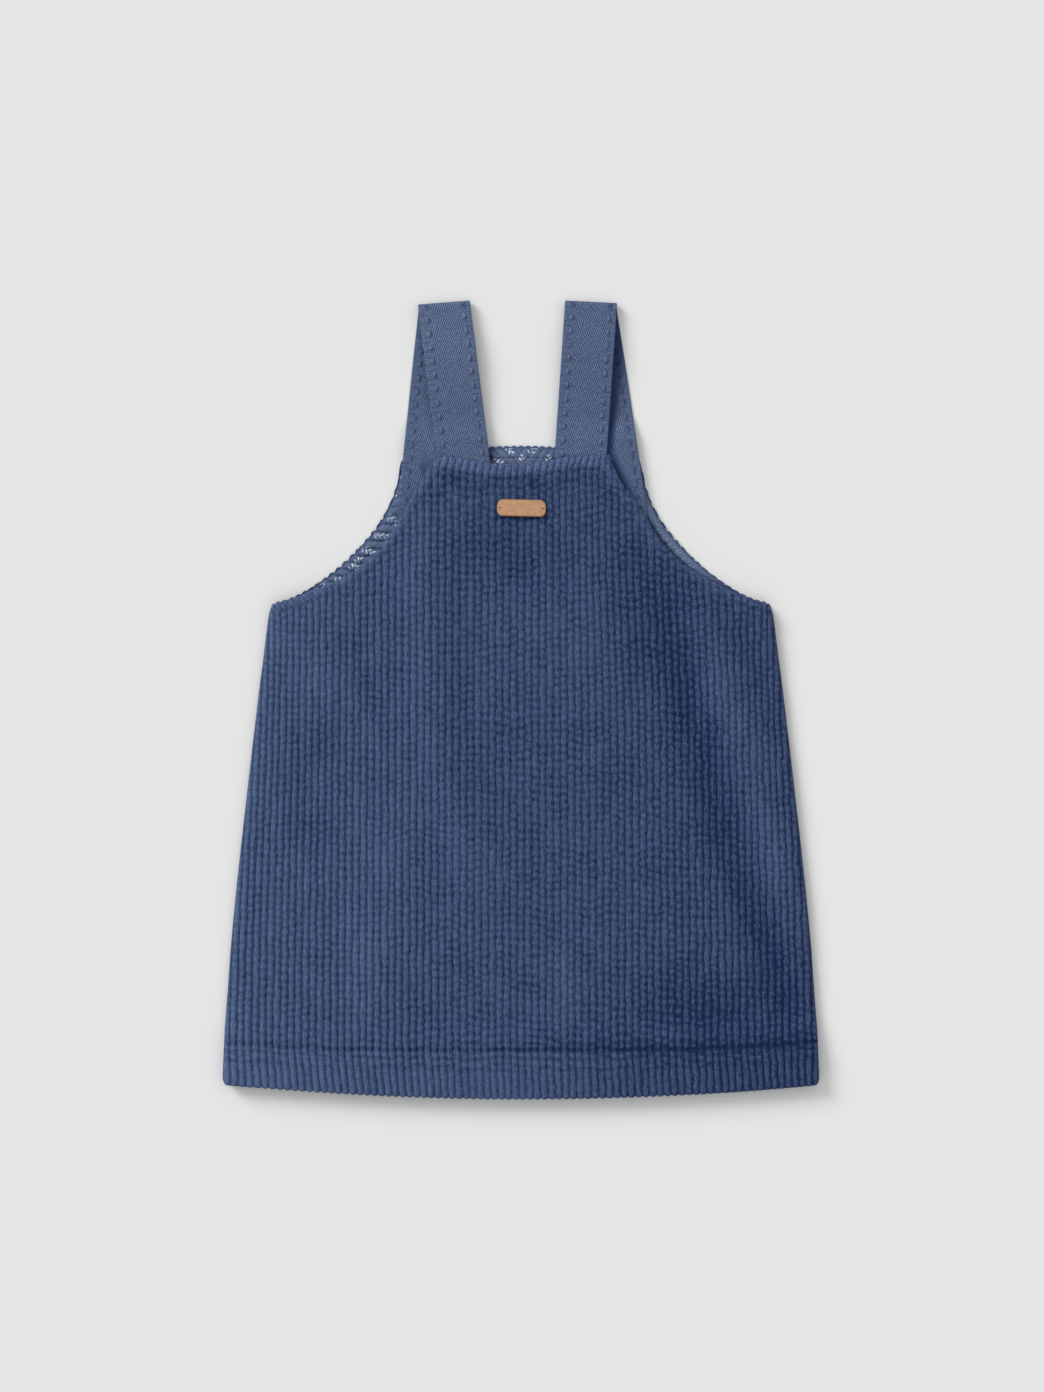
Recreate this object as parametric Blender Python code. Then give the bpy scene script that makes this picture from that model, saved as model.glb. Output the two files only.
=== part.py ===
"""A small child's corduroy pinafore dress, laid flat on its back with its straps folded over.

The dress lies front up. +X points to the viewer's right, +Y from the hem to the strap folds and
+Z up. The origin is on the surface that it lies on, under the middle of its outline.
Sizes are in millimetres, and heights up the dress are measured from the lowest point of the hem.
They become metres, about the middle of the outline, where a mesh is made.
"""

import math
from typing import NamedTuple

import bmesh
import bpy
import numpy as np

MM = 0.001

# Driving sizes
LENGTH = 469.0
HEM_HALF_WIDTH = 175.0
CLOTH = 2.0
FACING = 1.0
TAPE = 1.4
SEAM_GAP = 0.3

# The front lies a little to the right, so more of the back shows in the left armhole
LEFT_ARMHOLE_IN = 2.4
LEFT_ARMHOLE_FOOT = (294.0, 310.0)
LEFT_ARMHOLE_HEAD = (342.0, 362.0)

# Corduroy: wales run up the dress, and each is a crest between two valleys
WALES = 83
WALE_DEPTH = 0.8
WALE_SCALLOP = 0.45
WALE_PITCH = 2 * HEM_HALF_WIDTH / WALES
COLUMNS_PER_WALE = 3
INSIDE_STRIP = 6
BACK_STRIP = 12

# Hem: a turn-up, caught by one line of stitches, that doubles the cloth
HEM_RISE = 8.5
HEM_TURN_UP = 1.6
HEM_TOP = 28.3
HEM_TOP_LIFT = 4.8
HEM_TOP_SOFT = 1.6
HEM_EASE = (1.0, 22.0)
HEM_CORNER = 3.0
HEM_LEAN = {"left": 0.13, "middle": 0.04, "right": 0.08}
BACK_HEM_SHORT = 1.0

# How the front lies over the back, and how its wales lean towards the top
SIDE_ROLL = 6.0
EDGE_THIN = 0.5
LOFT = 2.9
BIB_LOFT = 0.4
LOFT_FADE = (290.0, 350.0)
BIB_LEAN = 4.0
SIDE_FAN = 10.0
UNDERARM = 291.0

# The front's armholes and neckline: a turned edge, pressed flatter than the cloth inside it
BORDER = (5.6, 7.2)
BORDER_FLAT = 0.5
BORDER_PUFF = 0.25

# Neck, straps and label
STRAP_WIDTH = 30.6
STRAP_FOLD_RADIUS = 2.3
STRAP_CLOSE = 60.0
STRAP_FRONT_END = 361.0
STRAP_BACK_END = 338.0
STRAP_CLIMB_TOP = 402.0
STRAP_CLIMB_FOOT = 384.5
STRAP_ARCH = 3.4
ARCH_FOOT = (0.18, 0.5)
ARCH_TOP = (0.7, 1.0)
STRAP_TURN_STEPS = 8
STRAP_STATIONS = [0.0, 0.1, 0.2, 0.26, 0.31, 0.36, 0.41, 0.46, 0.51, 0.57, 0.65, 0.75, 0.85, 0.92, 0.97, 1.0]
FACING_INSET = {"left": 3.2, "right": 1.2}
FACING_REACH = 137.0
FACING_FOOT = {"middle": 306.0, "side": 268.0}
FACING_LINES = 57
FACING_SHARES = (0.0, 0.4, 0.75, 1.0)

# What the front climbs over: the facing, then the straps' ends, which leave a hollow between them
FACING_CLIMB = (250.0, 290.0)
STRAPS_CLIMB = (305.0, 350.0)
HOLLOW_DEPTH = 0.8
HOLLOW_HALF_WIDTH = 13.0
HOLLOW_CLIMB = (330.0, 370.0)

LABEL_SIZE = (28.8, 10.0, 1.5)
LABEL_PLACE = (0.3, 346.8)
LABEL_CORNER = 3.6
LABEL_BEVEL = 0.35


class Point(NamedTuple):
    """A point of an outline: from the centre line, and up from the hem."""

    x: float
    y: float


class Fold(NamedTuple):
    """A soft fold of the front, as a line from one point to another: a ridge, or a trough if negative."""

    x0: float
    y0: float
    x1: float
    y1: float
    half_width: float
    height: float


class Strap(NamedTuple):
    """One strap, folded over at the top: its fold's middle and tilt, and where its two ends lie."""

    name: str
    fold_x: float
    fold_tilt: float
    front_end_x: float
    back_end_x: float


# The side of both panels, from the hem's corner to the underarm
SIDE = [
    Point(175.0, 16.0),
    Point(174.5, 34.0),
    Point(172.6, 57.8),
    Point(171.1, 81.0),
    Point(167.9, 116.6),
    Point(161.4, 175.4),
    Point(154.5, 234.2),
    Point(150.0, 269.5),
    Point(147.4, 291.0),
]

# The armholes, from the underarm up to the neckline's corner
FRONT_ARMHOLE = [
    Point(147.4, 291.0),
    Point(131.0, 295.3),
    Point(117.0, 301.5),
    Point(104.0, 308.2),
    Point(90.0, 318.8),
    Point(80.0, 331.0),
    Point(73.0, 342.5),
    Point(67.0, 351.5),
    Point(59.0, 362.3),
]
BACK_ARMHOLE = [
    Point(147.4, 291.0),
    Point(139.7, 292.8),
    Point(127.0, 298.7),
    Point(110.1, 310.5),
    Point(97.6, 322.2),
    Point(87.1, 334.0),
    Point(79.6, 345.7),
    Point(74.2, 358.5),
    Point(70.5, 374.7),
]

# The necklines, from left to right: the straps pull the front's up beside its middle
FRONT_NECK = [
    Point(-54.6, 371.5),
    Point(-47.6, 377.0),
    Point(-32.3, 375.3),
    Point(-18.2, 373.0),
    Point(-2.9, 373.0),
    Point(11.8, 374.2),
    Point(24.7, 376.8),
    Point(37.6, 377.7),
    Point(51.6, 378.2),
]
BACK_NECK = [
    Point(-68.5, 377.7),
    Point(-40.0, 381.8),
    Point(0.0, 383.8),
    Point(40.0, 381.8),
    Point(68.5, 377.7),
]

FOLDS = [
    Fold(84.0, 308.0, 100.0, 226.0, 10.0, -2.2),
    Fold(100.0, 232.0, 124.0, 140.0, 10.0, -2.2),
    Fold(122.0, 148.0, 161.0, 46.0, 10.0, -1.9),
    Fold(106.0, 282.0, 134.0, 186.0, 9.0, 1.4),
    Fold(132.0, 194.0, 157.0, 124.0, 9.0, 1.2),
    Fold(76.0, 62.0, 136.0, 46.0, 17.0, -1.5),
    Fold(-58.0, 345.0, -54.0, 206.0, 11.0, 1.5),
    Fold(-55.0, 214.0, -22.0, 118.0, 12.0, 1.3),
    Fold(-138.0, 232.0, -118.0, 146.0, 11.0, -1.1),
    Fold(-96.0, 112.0, -92.0, 44.0, 12.0, 1.1),
]

STRAPS = [
    Strap("strap_left", -45.0, 4.4, -31.8, -57.8),
    Strap("strap_right", 41.0, -2.9, 33.9, 59.5),
]

# Heights of the panels' rows above the hem turn-up
FRONT_ROWS = [
    *(56.0, 80.0, 104.0, 128.0, 152.0, 176.0, 200.0),
    *(224.0, 248.0, 272.0, 292.0, 310.0, 330.0, 348.0),
]
BACK_ROWS = [110.0, 200.0, 280.0, 330.0]

CORDUROY_BLUE = (0.046, 0.072, 0.155)
TAPE_BLUE = (0.087, 0.123, 0.216)
FACING_BLUE = (0.100, 0.140, 0.235)
LEATHER_TAN = (0.491, 0.283, 0.165)


def clear_scene():
    """Removes what the start-up scene holds."""
    for item in list(bpy.data.objects):
        bpy.data.objects.remove(item)


def smoothstep(value, start, end):
    """0 before start, 1 after end, and a smooth rise between them."""
    share = min(1.0, max(0.0, (value - start) / (end - start)))
    return share * share * (3 - 2 * share)


def spline(points, steps=8):
    """A smooth curve through the points, as an array of x and y."""
    given = np.array(points, float)
    ends = np.vstack([2 * given[0] - given[1], given, 2 * given[-1] - given[-2]])
    curve = []
    for before, start, end, after in zip(ends, ends[1:], ends[2:], ends[3:]):
        for share in np.linspace(0, 1, steps, endpoint=False):
            curve.append(
                0.5
                * (
                    2 * start
                    + (end - before) * share
                    + (2 * before - 5 * start + 4 * end - after) * share**2
                    + (3 * start - before - 3 * end + after) * share**3
                )
            )
    return np.array(curve + [given[-1]])


def upper_edge(armhole, neck):
    """A panel's whole outline over its hem, from its left corner to its right one."""
    right = np.vstack([spline(armhole)[::-1], spline(SIDE)[::-1]])
    left = right[::-1] * (-1, 1)
    return np.vstack([left, spline(neck), right])


def left_armhole_in(curve):
    """The front's outline with its left armhole moved in."""
    moved = []
    for x, y in curve:
        share = smoothstep(y, *LEFT_ARMHOLE_FOOT) * (1 - smoothstep(y, *LEFT_ARMHOLE_HEAD))
        moved.append((x + LEFT_ARMHOLE_IN * share * (x < 0), y))
    return np.array(moved)


def inset(curve, left, right):
    """The outline moved in along its own normals, by distances on its left and its right."""
    along = np.gradient(curve, axis=0)
    along /= np.maximum(np.linalg.norm(along, axis=1), 1e-9)[:, None]
    share = np.clip(0.5 + curve[:, :1] / (2 * HEM_HALF_WIDTH), 0, 1)
    distance = left + (right - left) * share
    moved = curve + distance * np.stack([along[:, 1], -along[:, 0]], axis=1)
    keep = np.maximum.accumulate(moved[:, 0]) <= moved[:, 0] + 1e-9
    return moved[keep]


FRONT_EDGE = left_armhole_in(upper_edge(FRONT_ARMHOLE, FRONT_NECK))
BACK_EDGE = upper_edge(BACK_ARMHOLE, BACK_NECK)
FACING_EDGE = inset(BACK_EDGE, FACING_INSET["left"], FACING_INSET["right"])
BORDER_EDGES = [inset(FRONT_EDGE, distance, distance) for distance in BORDER]
SIDE_CURVE = spline(SIDE)


def edge_height(edge, x):
    """The height of an outline over a place across the dress."""
    return float(np.interp(x, edge[:, 0], edge[:, 1]))


def half_width(y):
    """The panels' half width at a height, up to the underarm."""
    return float(np.interp(y, SIDE_CURVE[:, 1], SIDE_CURVE[:, 0]))


def hem_height(x):
    """The lower edge: it sags in the middle and its corners are rounded."""
    share = min(1.0, abs(x) / HEM_HALF_WIDTH)
    corner = min(1.0, max(0.0, abs(x) - (HEM_HALF_WIDTH - HEM_CORNER)) / HEM_CORNER)
    return HEM_RISE * share**2 + HEM_CORNER * (1 - math.sqrt(1 - corner**2))


def hem_top(x):
    """The height of the turn-up's edge, which rises towards the sides."""
    return HEM_TOP + HEM_TOP_LIFT * (x / HEM_HALF_WIDTH) ** 4


def wale_x(s, y):
    """Where the line of the cloth that starts s from the centre line lies, at a height."""
    across = s / HEM_HALF_WIDTH
    fan = -math.copysign(SIDE_FAN * across**4, s) * smoothstep(y, HEM_TOP, UNDERARM)
    bib = -BIB_LEAN * smoothstep(s, 10.0, 70.0) * (1 - smoothstep(s, 110.0, 145.0))
    bib *= smoothstep(y, 200.0, 350.0)
    side = HEM_LEAN["left"] if across < 0 else HEM_LEAN["right"]
    lean = HEM_LEAN["middle"] + (side - HEM_LEAN["middle"]) * min(1.0, abs(across) * 1.4)
    below = max(0.0, hem_top(s) - y)
    return s + fan + bib + lean * below * (1 - across**6)


def fold_lift(x, y):
    """How far the soft folds lift the front, or lower it."""
    lift = 0.0
    for fold in FOLDS:
        along = np.array([fold.x1 - fold.x0, fold.y1 - fold.y0])
        length = float(np.hypot(*along))
        across = (x - fold.x0) * along[1] - (y - fold.y0) * along[0]
        share = ((x - fold.x0) * along[0] + (y - fold.y0) * along[1]) / length**2
        fade = smoothstep(share, -0.15, 0.2) * (1 - smoothstep(share, 0.8, 1.15))
        lift += fold.height * fade * math.exp(-((across / length / fold.half_width) ** 2))
    return lift


def side_share(x, y):
    """0 at the side seams, rising in a round roll to 1 inside."""
    inside = min(1.0, max(0.0, (half_width(y) - abs(x)) / SIDE_ROLL))
    return math.sqrt(max(0.0, 1 - (1 - inside) ** 2))


def turn_up(x, y):
    """What the hem's turn-up adds to the cloth's thickness."""
    top = hem_top(x)
    return HEM_TURN_UP * (1 - smoothstep(y, top - HEM_TOP_SOFT, top + HEM_TOP_SOFT))


def border_share(x, y):
    """1 in the turned edge along the armholes and the neckline, and 0 inside it."""
    outer, inner = (edge_height(edge, x) for edge in BORDER_EDGES)
    return smoothstep(y, inner, outer) if inner < outer and y > UNDERARM - BORDER[1] else 0.0


def back_top(x, y):
    """The upper face of the back: its outer face rests flat, and the turn-up lies on its inside."""
    return CLOTH + turn_up(x, y)


def front_under(x, y):
    """The under face of the front, over the back, the facing and the ends of the straps."""
    facing = (FACING + SEAM_GAP) * smoothstep(y, *FACING_CLIMB)
    straps = 2 * (TAPE + SEAM_GAP) * smoothstep(y, *STRAPS_CLIMB)
    hollow = HOLLOW_DEPTH * math.exp(-((x / HOLLOW_HALF_WIDTH) ** 2)) * smoothstep(y, *HOLLOW_CLIMB)
    hem = HEM_TURN_UP * (1 - smoothstep(y - hem_top(x), *HEM_EASE))
    loft = LOFT + (BIB_LOFT - LOFT) * smoothstep(y, *LOFT_FADE)
    inner = loft + fold_lift(x, y) + facing + straps - hollow
    return CLOTH + SEAM_GAP + hem + side_share(x, y) * inner


def front_thickness(x, y, crest):
    """The front's own thickness: on a wale's crest or in a valley, doubled in the turn-up."""
    share = side_share(x, y)
    border = border_share(x, y)
    depth = 0.0 if crest else WALE_DEPTH * (0.5 + 0.5 * share) * (1 - BORDER_FLAT * border)
    return CLOTH + turn_up(x, y) - EDGE_THIN * (1 - share) + BORDER_PUFF * border - depth


def front_crests(x, y):
    """The height that the front's wales rise to."""
    return front_under(x, y) + front_thickness(x, y, True)


def column_end(s, edge):
    """The height at which a line of the cloth meets an outline."""
    low, high = hem_height(s), LENGTH
    for _ in range(30):
        middle = (low + high) / 2
        if edge_height(edge, wale_x(s, middle)) > middle:
            low = middle
        else:
            high = middle
    return low


def column_rows(s, edge, rows, set_back):
    """The points up one line of the cloth, whose ends are set back from the hem and the outline."""
    start = hem_height(s) + set_back[0]
    end = column_end(s, edge) - set_back[1]
    top = hem_top(s)
    heights = [start, start + 2.5, (start + top) / 2, top - HEM_TOP_SOFT, top + HEM_TOP_SOFT, *rows]
    heights = sorted(height for height in heights if height < end - 2.0)
    if len(heights) < 3:
        heights = [start + (end - start) * share for share in (0.0, 0.33, 0.67)]
    return [(wale_x(s, height), height) for height in heights + [end]]


def zip_faces(left, right):
    """The triangles between two lines of vertices, each given as its number and its height."""
    faces = []
    a = b = 0
    while a < len(left) - 1 or b < len(right) - 1:
        on_left = b == len(right) - 1
        if a < len(left) - 1 and not on_left:
            on_left = left[a + 1][1] <= right[b + 1][1]
        if on_left:
            faces.append([left[a][0], right[b][0], left[a + 1][0]])
            a += 1
        else:
            faces.append([left[a][0], right[b][0], right[b + 1][0]])
            b += 1
    return faces


def sheet_faces(columns, step):
    """The faces of one side of a panel, in strips that span as many lines as step says."""
    faces = []
    last = len(columns) - 1
    for a in range(0, last, step):
        b = min(a + step, last)
        foot = [columns[i][0][0] for i in range(a, b + 1)]
        head = [columns[i][-1][0] for i in range(a, b + 1)]
        faces += [[columns[a][1][0], foot[i], foot[i + 1]] for i in range(b - a)]
        faces += zip_faces(columns[a][1:], columns[b][:-1])
        faces += [[columns[b][-2][0], head[i + 1], head[i]] for i in range(b - a)]
    return faces


def rim_faces(upper, lower):
    """The faces that join a panel's two sides round its outline."""
    faces = []
    for a in range(len(upper) - 1):
        faces.append([upper[a][0], lower[a][0], lower[a + 1][0], upper[a + 1][0]])
        faces.append([upper[a][-1], upper[a + 1][-1], lower[a + 1][-1], lower[a][-1]])
    for up, down in ((upper[0], lower[0]), (upper[-1], lower[-1])):
        for row in range(len(up) - 1):
            faces.append([up[row], up[row + 1], down[row + 1], down[row]])
    return faces


def make_object(name, vertices, faces, material):
    """A mesh object from millimetres up the dress, placed about the middle of the outline."""
    mesh = bpy.data.meshes.new(name)
    placed = [(x * MM, (y - LENGTH / 2) * MM, z * MM) for x, y, z in vertices]
    mesh.from_pydata(placed, [], faces)
    shaper = bmesh.new()
    shaper.from_mesh(mesh)
    bmesh.ops.recalc_face_normals(shaper, faces=shaper.faces)
    shaper.to_mesh(mesh)
    shaper.free()
    mesh.materials.append(material)
    item = bpy.data.objects.new(name, mesh)
    bpy.context.scene.collection.objects.link(item)
    mesh.shade_smooth()
    mesh.set_sharp_from_angle(angle=math.radians(50))
    return item


def panel(name, lines, upper_z, lower_z, steps, material):
    """A closed wall from lines of points up the cloth; steps are the strips' widths on its two sides."""
    vertices, sides = [], []
    for height_of in (upper_z, lower_z):
        side = []
        for index, line in enumerate(lines):
            start = len(vertices)
            vertices += [(x, y, height_of(x, y, index)) for x, y in line]
            side.append([(start + row, point[1]) for row, point in enumerate(line)])
        sides.append(side)
    numbers = [[[number for number, _ in line] for line in side] for side in sides]
    faces = sheet_faces(sides[0], steps[0])
    faces += [face[::-1] for face in sheet_faces(sides[1], steps[1])]
    faces += rim_faces(*numbers)
    used = sorted({vertex for face in faces for vertex in face})
    place = {vertex: i for i, vertex in enumerate(used)}
    return make_object(
        name,
        [vertices[vertex] for vertex in used],
        [[place[vertex] for vertex in face] for face in faces],
        material,
    )


def is_crest(index):
    """Whether a line of the cloth, by its number from the left, lies on a wale's crest."""
    return index % COLUMNS_PER_WALE != 0


def border_rows(s):
    """The heights on both sides of the turned edge's inner limit, where a line ends in that edge."""
    if column_end(s, FRONT_EDGE) < UNDERARM:
        return []
    return [column_end(s, edge) for edge in BORDER_EDGES]


def cord_lines(edge, rows, extra_rows, short=0.0):
    """The lines of a corduroy panel, a valley and two on its crest to each wale.

    The valleys' ends stand back from the crests', and extra_rows gives more heights for a line.
    """
    lines = []
    for index in range(WALES * COLUMNS_PER_WALE + 1):
        s = -HEM_HALF_WIDTH + index * WALE_PITCH / COLUMNS_PER_WALE
        scallop = 0.0 if is_crest(index) else WALE_SCALLOP
        lines.append(column_rows(s, edge, [*rows, *extra_rows(s)], (short + scallop, scallop)))
    return lines


def make_front(material):
    """The corduroy front: wales raised on its outer face, and a plain inside."""
    return panel(
        "front_panel",
        cord_lines(FRONT_EDGE, FRONT_ROWS, border_rows),
        lambda x, y, index: front_under(x, y) + front_thickness(x, y, is_crest(index)),
        lambda x, y, index: front_under(x, y),
        (1, INSIDE_STRIP),
        material,
    )


def make_back(material):
    """The corduroy back: its outer face rests flat, and the ends of its wales show along its edges."""
    return panel(
        "back_panel",
        cord_lines(BACK_EDGE, BACK_ROWS, lambda s: [], BACK_HEM_SHORT),
        lambda x, y, index: back_top(x, y),
        lambda x, y, index: 0.0,
        (BACK_STRIP, BACK_STRIP),
        material,
    )


def make_facing(material):
    """The printed facing on the back's inside, set in from its neckline and armholes."""
    middle, side = FACING_FOOT["middle"], FACING_FOOT["side"]
    lines = []
    for x in np.linspace(-FACING_REACH, FACING_REACH, FACING_LINES):
        foot = middle + (side - middle) * (x / FACING_REACH) ** 2
        top = edge_height(FACING_EDGE, x)
        lines.append([(x, foot + (top - foot) * share) for share in FACING_SHARES])
    base = CLOTH + SEAM_GAP
    return panel(
        "back_facing",
        lines,
        lambda x, y, index: base + FACING,
        lambda x, y, index: base,
        (1, 1),
        material,
    )


def strap_rise(y):
    """How far the straps have climbed from the surface onto the back and its facing."""
    return (CLOTH + FACING + 2 * SEAM_GAP) * (1 - smoothstep(y, STRAP_CLIMB_FOOT, STRAP_CLIMB_TOP))


def strap_fold(strap):
    """The middle of a strap's fold, where its round begins."""
    slant = STRAP_WIDTH / 2 * math.sin(math.radians(abs(strap.fold_tilt)))
    return np.array([strap.fold_x, LENGTH - STRAP_FOLD_RADIUS - TAPE / 2 - slant])


def strap_half(strap, end, lift):
    """Stations from a strap's sewn end to its fold, each its place, tilt and turn.

    lift is how far the upper half lies over the lower one, and 0 for the lower half. Between its
    ends the upper half arches up, because the fold isn't pressed.
    """
    fold = strap_fold(strap)
    run = fold - end
    straight = math.atan2(-run[0], run[1])
    stations = []
    for share in STRAP_STATIONS:
        x, y = end + run * share
        near = 1 - smoothstep(float(np.linalg.norm(run)) * (1 - share), 0.0, STRAP_CLOSE)
        tilt = math.radians(strap.fold_tilt) * near + straight * (1 - near)
        z = strap_rise(y) + TAPE / 2
        if lift:
            arch = STRAP_ARCH * smoothstep(share, *ARCH_FOOT) * (1 - smoothstep(share, *ARCH_TOP))
            z += lift + (2 * STRAP_FOLD_RADIUS - lift) * near + arch
        stations.append((x, y, z, tilt, 0.0))
    return stations


def strap_turn(strap):
    """Stations round a strap's fold, from its upper half to its lower one."""
    fold, tilt = strap_fold(strap), math.radians(strap.fold_tilt)
    stations = []
    for step in range(1, STRAP_TURN_STEPS):
        angle = math.pi * step / STRAP_TURN_STEPS
        out = STRAP_FOLD_RADIUS * math.sin(angle)
        z = TAPE / 2 + STRAP_FOLD_RADIUS * (1 + math.cos(angle))
        stations.append((fold[0] - out * math.sin(tilt), fold[1] + out * math.cos(tilt), z, tilt, angle))
    return stations


def strap_path(strap):
    """All stations of a strap, from its front end over the fold to its back end."""
    upper = strap_half(strap, np.array([strap.front_end_x, STRAP_FRONT_END]), TAPE + SEAM_GAP)
    lower = strap_half(strap, np.array([strap.back_end_x, STRAP_BACK_END]), 0.0)
    turned = [(x, y, z, tilt, math.pi) for x, y, z, tilt, _ in reversed(lower)]
    return upper + strap_turn(strap) + turned


def make_strap(strap, material):
    """One strap: a twill tape from behind the front's top, folded over, to the inside of the back."""
    edge, face, soft = STRAP_WIDTH / 2, TAPE / 2, TAPE / 4
    outline = [
        (-edge, -face + soft),
        (-edge + soft, -face),
        (edge - soft, -face),
        (edge, -face + soft),
        (edge, face - soft),
        (edge - soft, face),
        (-edge + soft, face),
        (-edge, face - soft),
    ]
    vertices, faces = [], []
    stations = strap_path(strap)
    for x, y, z, tilt, angle in stations:
        across = np.array([math.cos(tilt), math.sin(tilt), 0.0])
        out = np.array([-math.sin(tilt), math.cos(tilt), 0.0])
        thick = out * math.sin(angle) + np.array([0.0, 0.0, math.cos(angle)])
        for a, b in outline:
            vertices.append(tuple(np.array([x, y, z]) + across * a + thick * b))
    sides = len(outline)
    for ring in range(len(stations) - 1):
        for side in range(sides):
            a = ring * sides + side
            b = ring * sides + (side + 1) % sides
            faces.append([a, b, b + sides, a + sides])
    faces.append(list(range(sides))[::-1])
    faces.append(list(range(len(vertices) - sides, len(vertices))))
    return make_object(strap.name, vertices, faces, material)


def label_outline(shrink):
    """The label's outline with its round corners, shrunk by a distance."""
    half_long, half_wide = LABEL_SIZE[0] / 2, LABEL_SIZE[1] / 2
    points = []
    for quarter, (side_x, side_y) in enumerate(((1, 1), (-1, 1), (-1, -1), (1, -1))):
        for step in range(7):
            angle = math.radians(90 * quarter + 15 * step)
            x = side_x * (half_long - LABEL_CORNER) + (LABEL_CORNER - shrink) * math.cos(angle)
            y = side_y * (half_wide - LABEL_CORNER) + (LABEL_CORNER - shrink) * math.sin(angle)
            points.append((x + LABEL_PLACE[0], y + LABEL_PLACE[1]))
    return points


def make_label(material):
    """The plain leather label, lying on the crests of the front's wales with softened edges."""
    rings = [
        (label_outline(LABEL_BEVEL), SEAM_GAP),
        (label_outline(0.0), SEAM_GAP + LABEL_BEVEL),
        (label_outline(0.0), SEAM_GAP + LABEL_SIZE[2] - LABEL_BEVEL),
        (label_outline(LABEL_BEVEL), SEAM_GAP + LABEL_SIZE[2]),
    ]
    vertices = [(x, y, front_crests(x, y) + up) for points, up in rings for x, y in points]
    count = len(rings[0][0])
    faces = [list(range(count))[::-1], list(range(3 * count, 4 * count))]
    for ring in range(3):
        for a in range(count):
            b = (a + 1) % count
            start = ring * count
            faces.append([start + a, start + b, start + count + b, start + count + a])
    return make_object("label", vertices, faces, material)


def make_material(name, colour, roughness):
    """A cloth or leather material."""
    material = bpy.data.materials.new(name)
    material.use_nodes = True
    shader = material.node_tree.nodes["Principled BSDF"]
    shader.inputs["Base Color"].default_value = (*colour, 1.0)
    shader.inputs["Roughness"].default_value = roughness
    shader.inputs["Metallic"].default_value = 0.0
    return material


def main():
    """Builds the dress, piece by piece."""
    clear_scene()
    corduroy = make_material("corduroy", CORDUROY_BLUE, 0.95)
    tape = make_material("twill_tape", TAPE_BLUE, 0.9)
    print_cotton = make_material("printed_cotton", FACING_BLUE, 0.9)
    leather = make_material("leather", LEATHER_TAN, 0.6)
    make_back(corduroy)
    make_facing(print_cotton)
    for strap in STRAPS:
        make_strap(strap, tape)
    make_front(corduroy)
    make_label(leather)


main()
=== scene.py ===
"""A small child's corduroy pinafore dress, laid flat: its cloth, sewing, print and leather tab.

The classes hold their sizes in millimetres on the dress: x from its centre line, y up from the
lowest point of its hem and z up from the surface that it lies on. Placing turns them into metres in
the frame, whose origin is under the middle of the dress.
"""

import logging
import math
from dataclasses import dataclass
from enum import Enum
from functools import cache, partial, reduce
from typing import Callable, NamedTuple, Optional, Sequence, Union

import bmesh
import bpy
import numpy as np
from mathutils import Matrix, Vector

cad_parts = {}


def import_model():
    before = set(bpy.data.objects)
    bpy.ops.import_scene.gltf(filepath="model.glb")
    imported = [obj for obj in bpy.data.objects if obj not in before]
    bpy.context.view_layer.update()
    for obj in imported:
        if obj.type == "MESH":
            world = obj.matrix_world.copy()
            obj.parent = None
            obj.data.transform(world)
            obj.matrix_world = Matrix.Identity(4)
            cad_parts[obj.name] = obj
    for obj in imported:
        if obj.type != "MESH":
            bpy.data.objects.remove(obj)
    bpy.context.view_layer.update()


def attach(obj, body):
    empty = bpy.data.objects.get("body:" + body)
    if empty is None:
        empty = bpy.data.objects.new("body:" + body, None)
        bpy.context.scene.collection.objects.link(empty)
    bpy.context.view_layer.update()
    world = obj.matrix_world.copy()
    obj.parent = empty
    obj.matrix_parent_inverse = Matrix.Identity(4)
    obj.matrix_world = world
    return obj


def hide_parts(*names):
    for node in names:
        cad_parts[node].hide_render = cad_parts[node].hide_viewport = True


LOG = logging.getLogger("pinafore")
MM = 0.001
BODY = "root"
CLOTH_UV = "cloth"

# A distance that no edge reaches to, and how far below the upper edge distances are measured
FAR = 99.0
NEAR_EDGE = 30.0

Array = np.ndarray
Colour = tuple[float, float, float]
Face = tuple[Array, dict[str, Array]]
FaceRule = Callable[[Array, Array], Face]
Item = bpy.types.Object
Material = bpy.types.Material
Tree = bpy.types.NodeTree
Socket = bpy.types.NodeSocket
Sockets = bpy.types.bpy_prop_collection
Feed = Union[float, tuple, Socket]


class Slot(Enum):
    """The record's material slots."""

    CORDUROY = "corduroy"
    COTTON = "printed_cotton"
    TAPE = "twill_tape"
    LEATHER = "leather"


class Half(Enum):
    """The two halves of a folded strap."""

    FRONT = "front"
    BACK = "back"


class Point(NamedTuple):
    """A point of an outline: from the centre line, and up from the hem."""

    x: float
    y: float


class Fold(NamedTuple):
    """A soft fold as a line between two points: a ridge, or a trough if its height is negative."""

    x0: float
    y0: float
    x1: float
    y1: float
    half_width: float
    height: float

    def lift(self, x: Array, y: Array) -> Array:
        """Fades the fold out over its sides and its ends.

        Args:
            x: The places' x.
            y: The places' y.

        Returns:
            How far it lifts each place.
        """
        along = np.array([self.x1 - self.x0, self.y1 - self.y0])
        length = float(np.hypot(*along))
        across = ((x - self.x0) * along[1] - (y - self.y0) * along[0]) / length
        share = ((x - self.x0) * along[0] + (y - self.y0) * along[1]) / length**2
        fade = smoothstep(share, -0.15, 0.2) * (1 - smoothstep(share, 0.8, 1.15))
        return self.height * fade * bell(across, self.half_width)


class Column(NamedTuple):
    """One line up the cloth: its place at the hem, and the heights of its points on each face."""

    s: float
    fine: Array
    plain: Array


# --- shape of the cloth ---


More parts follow.
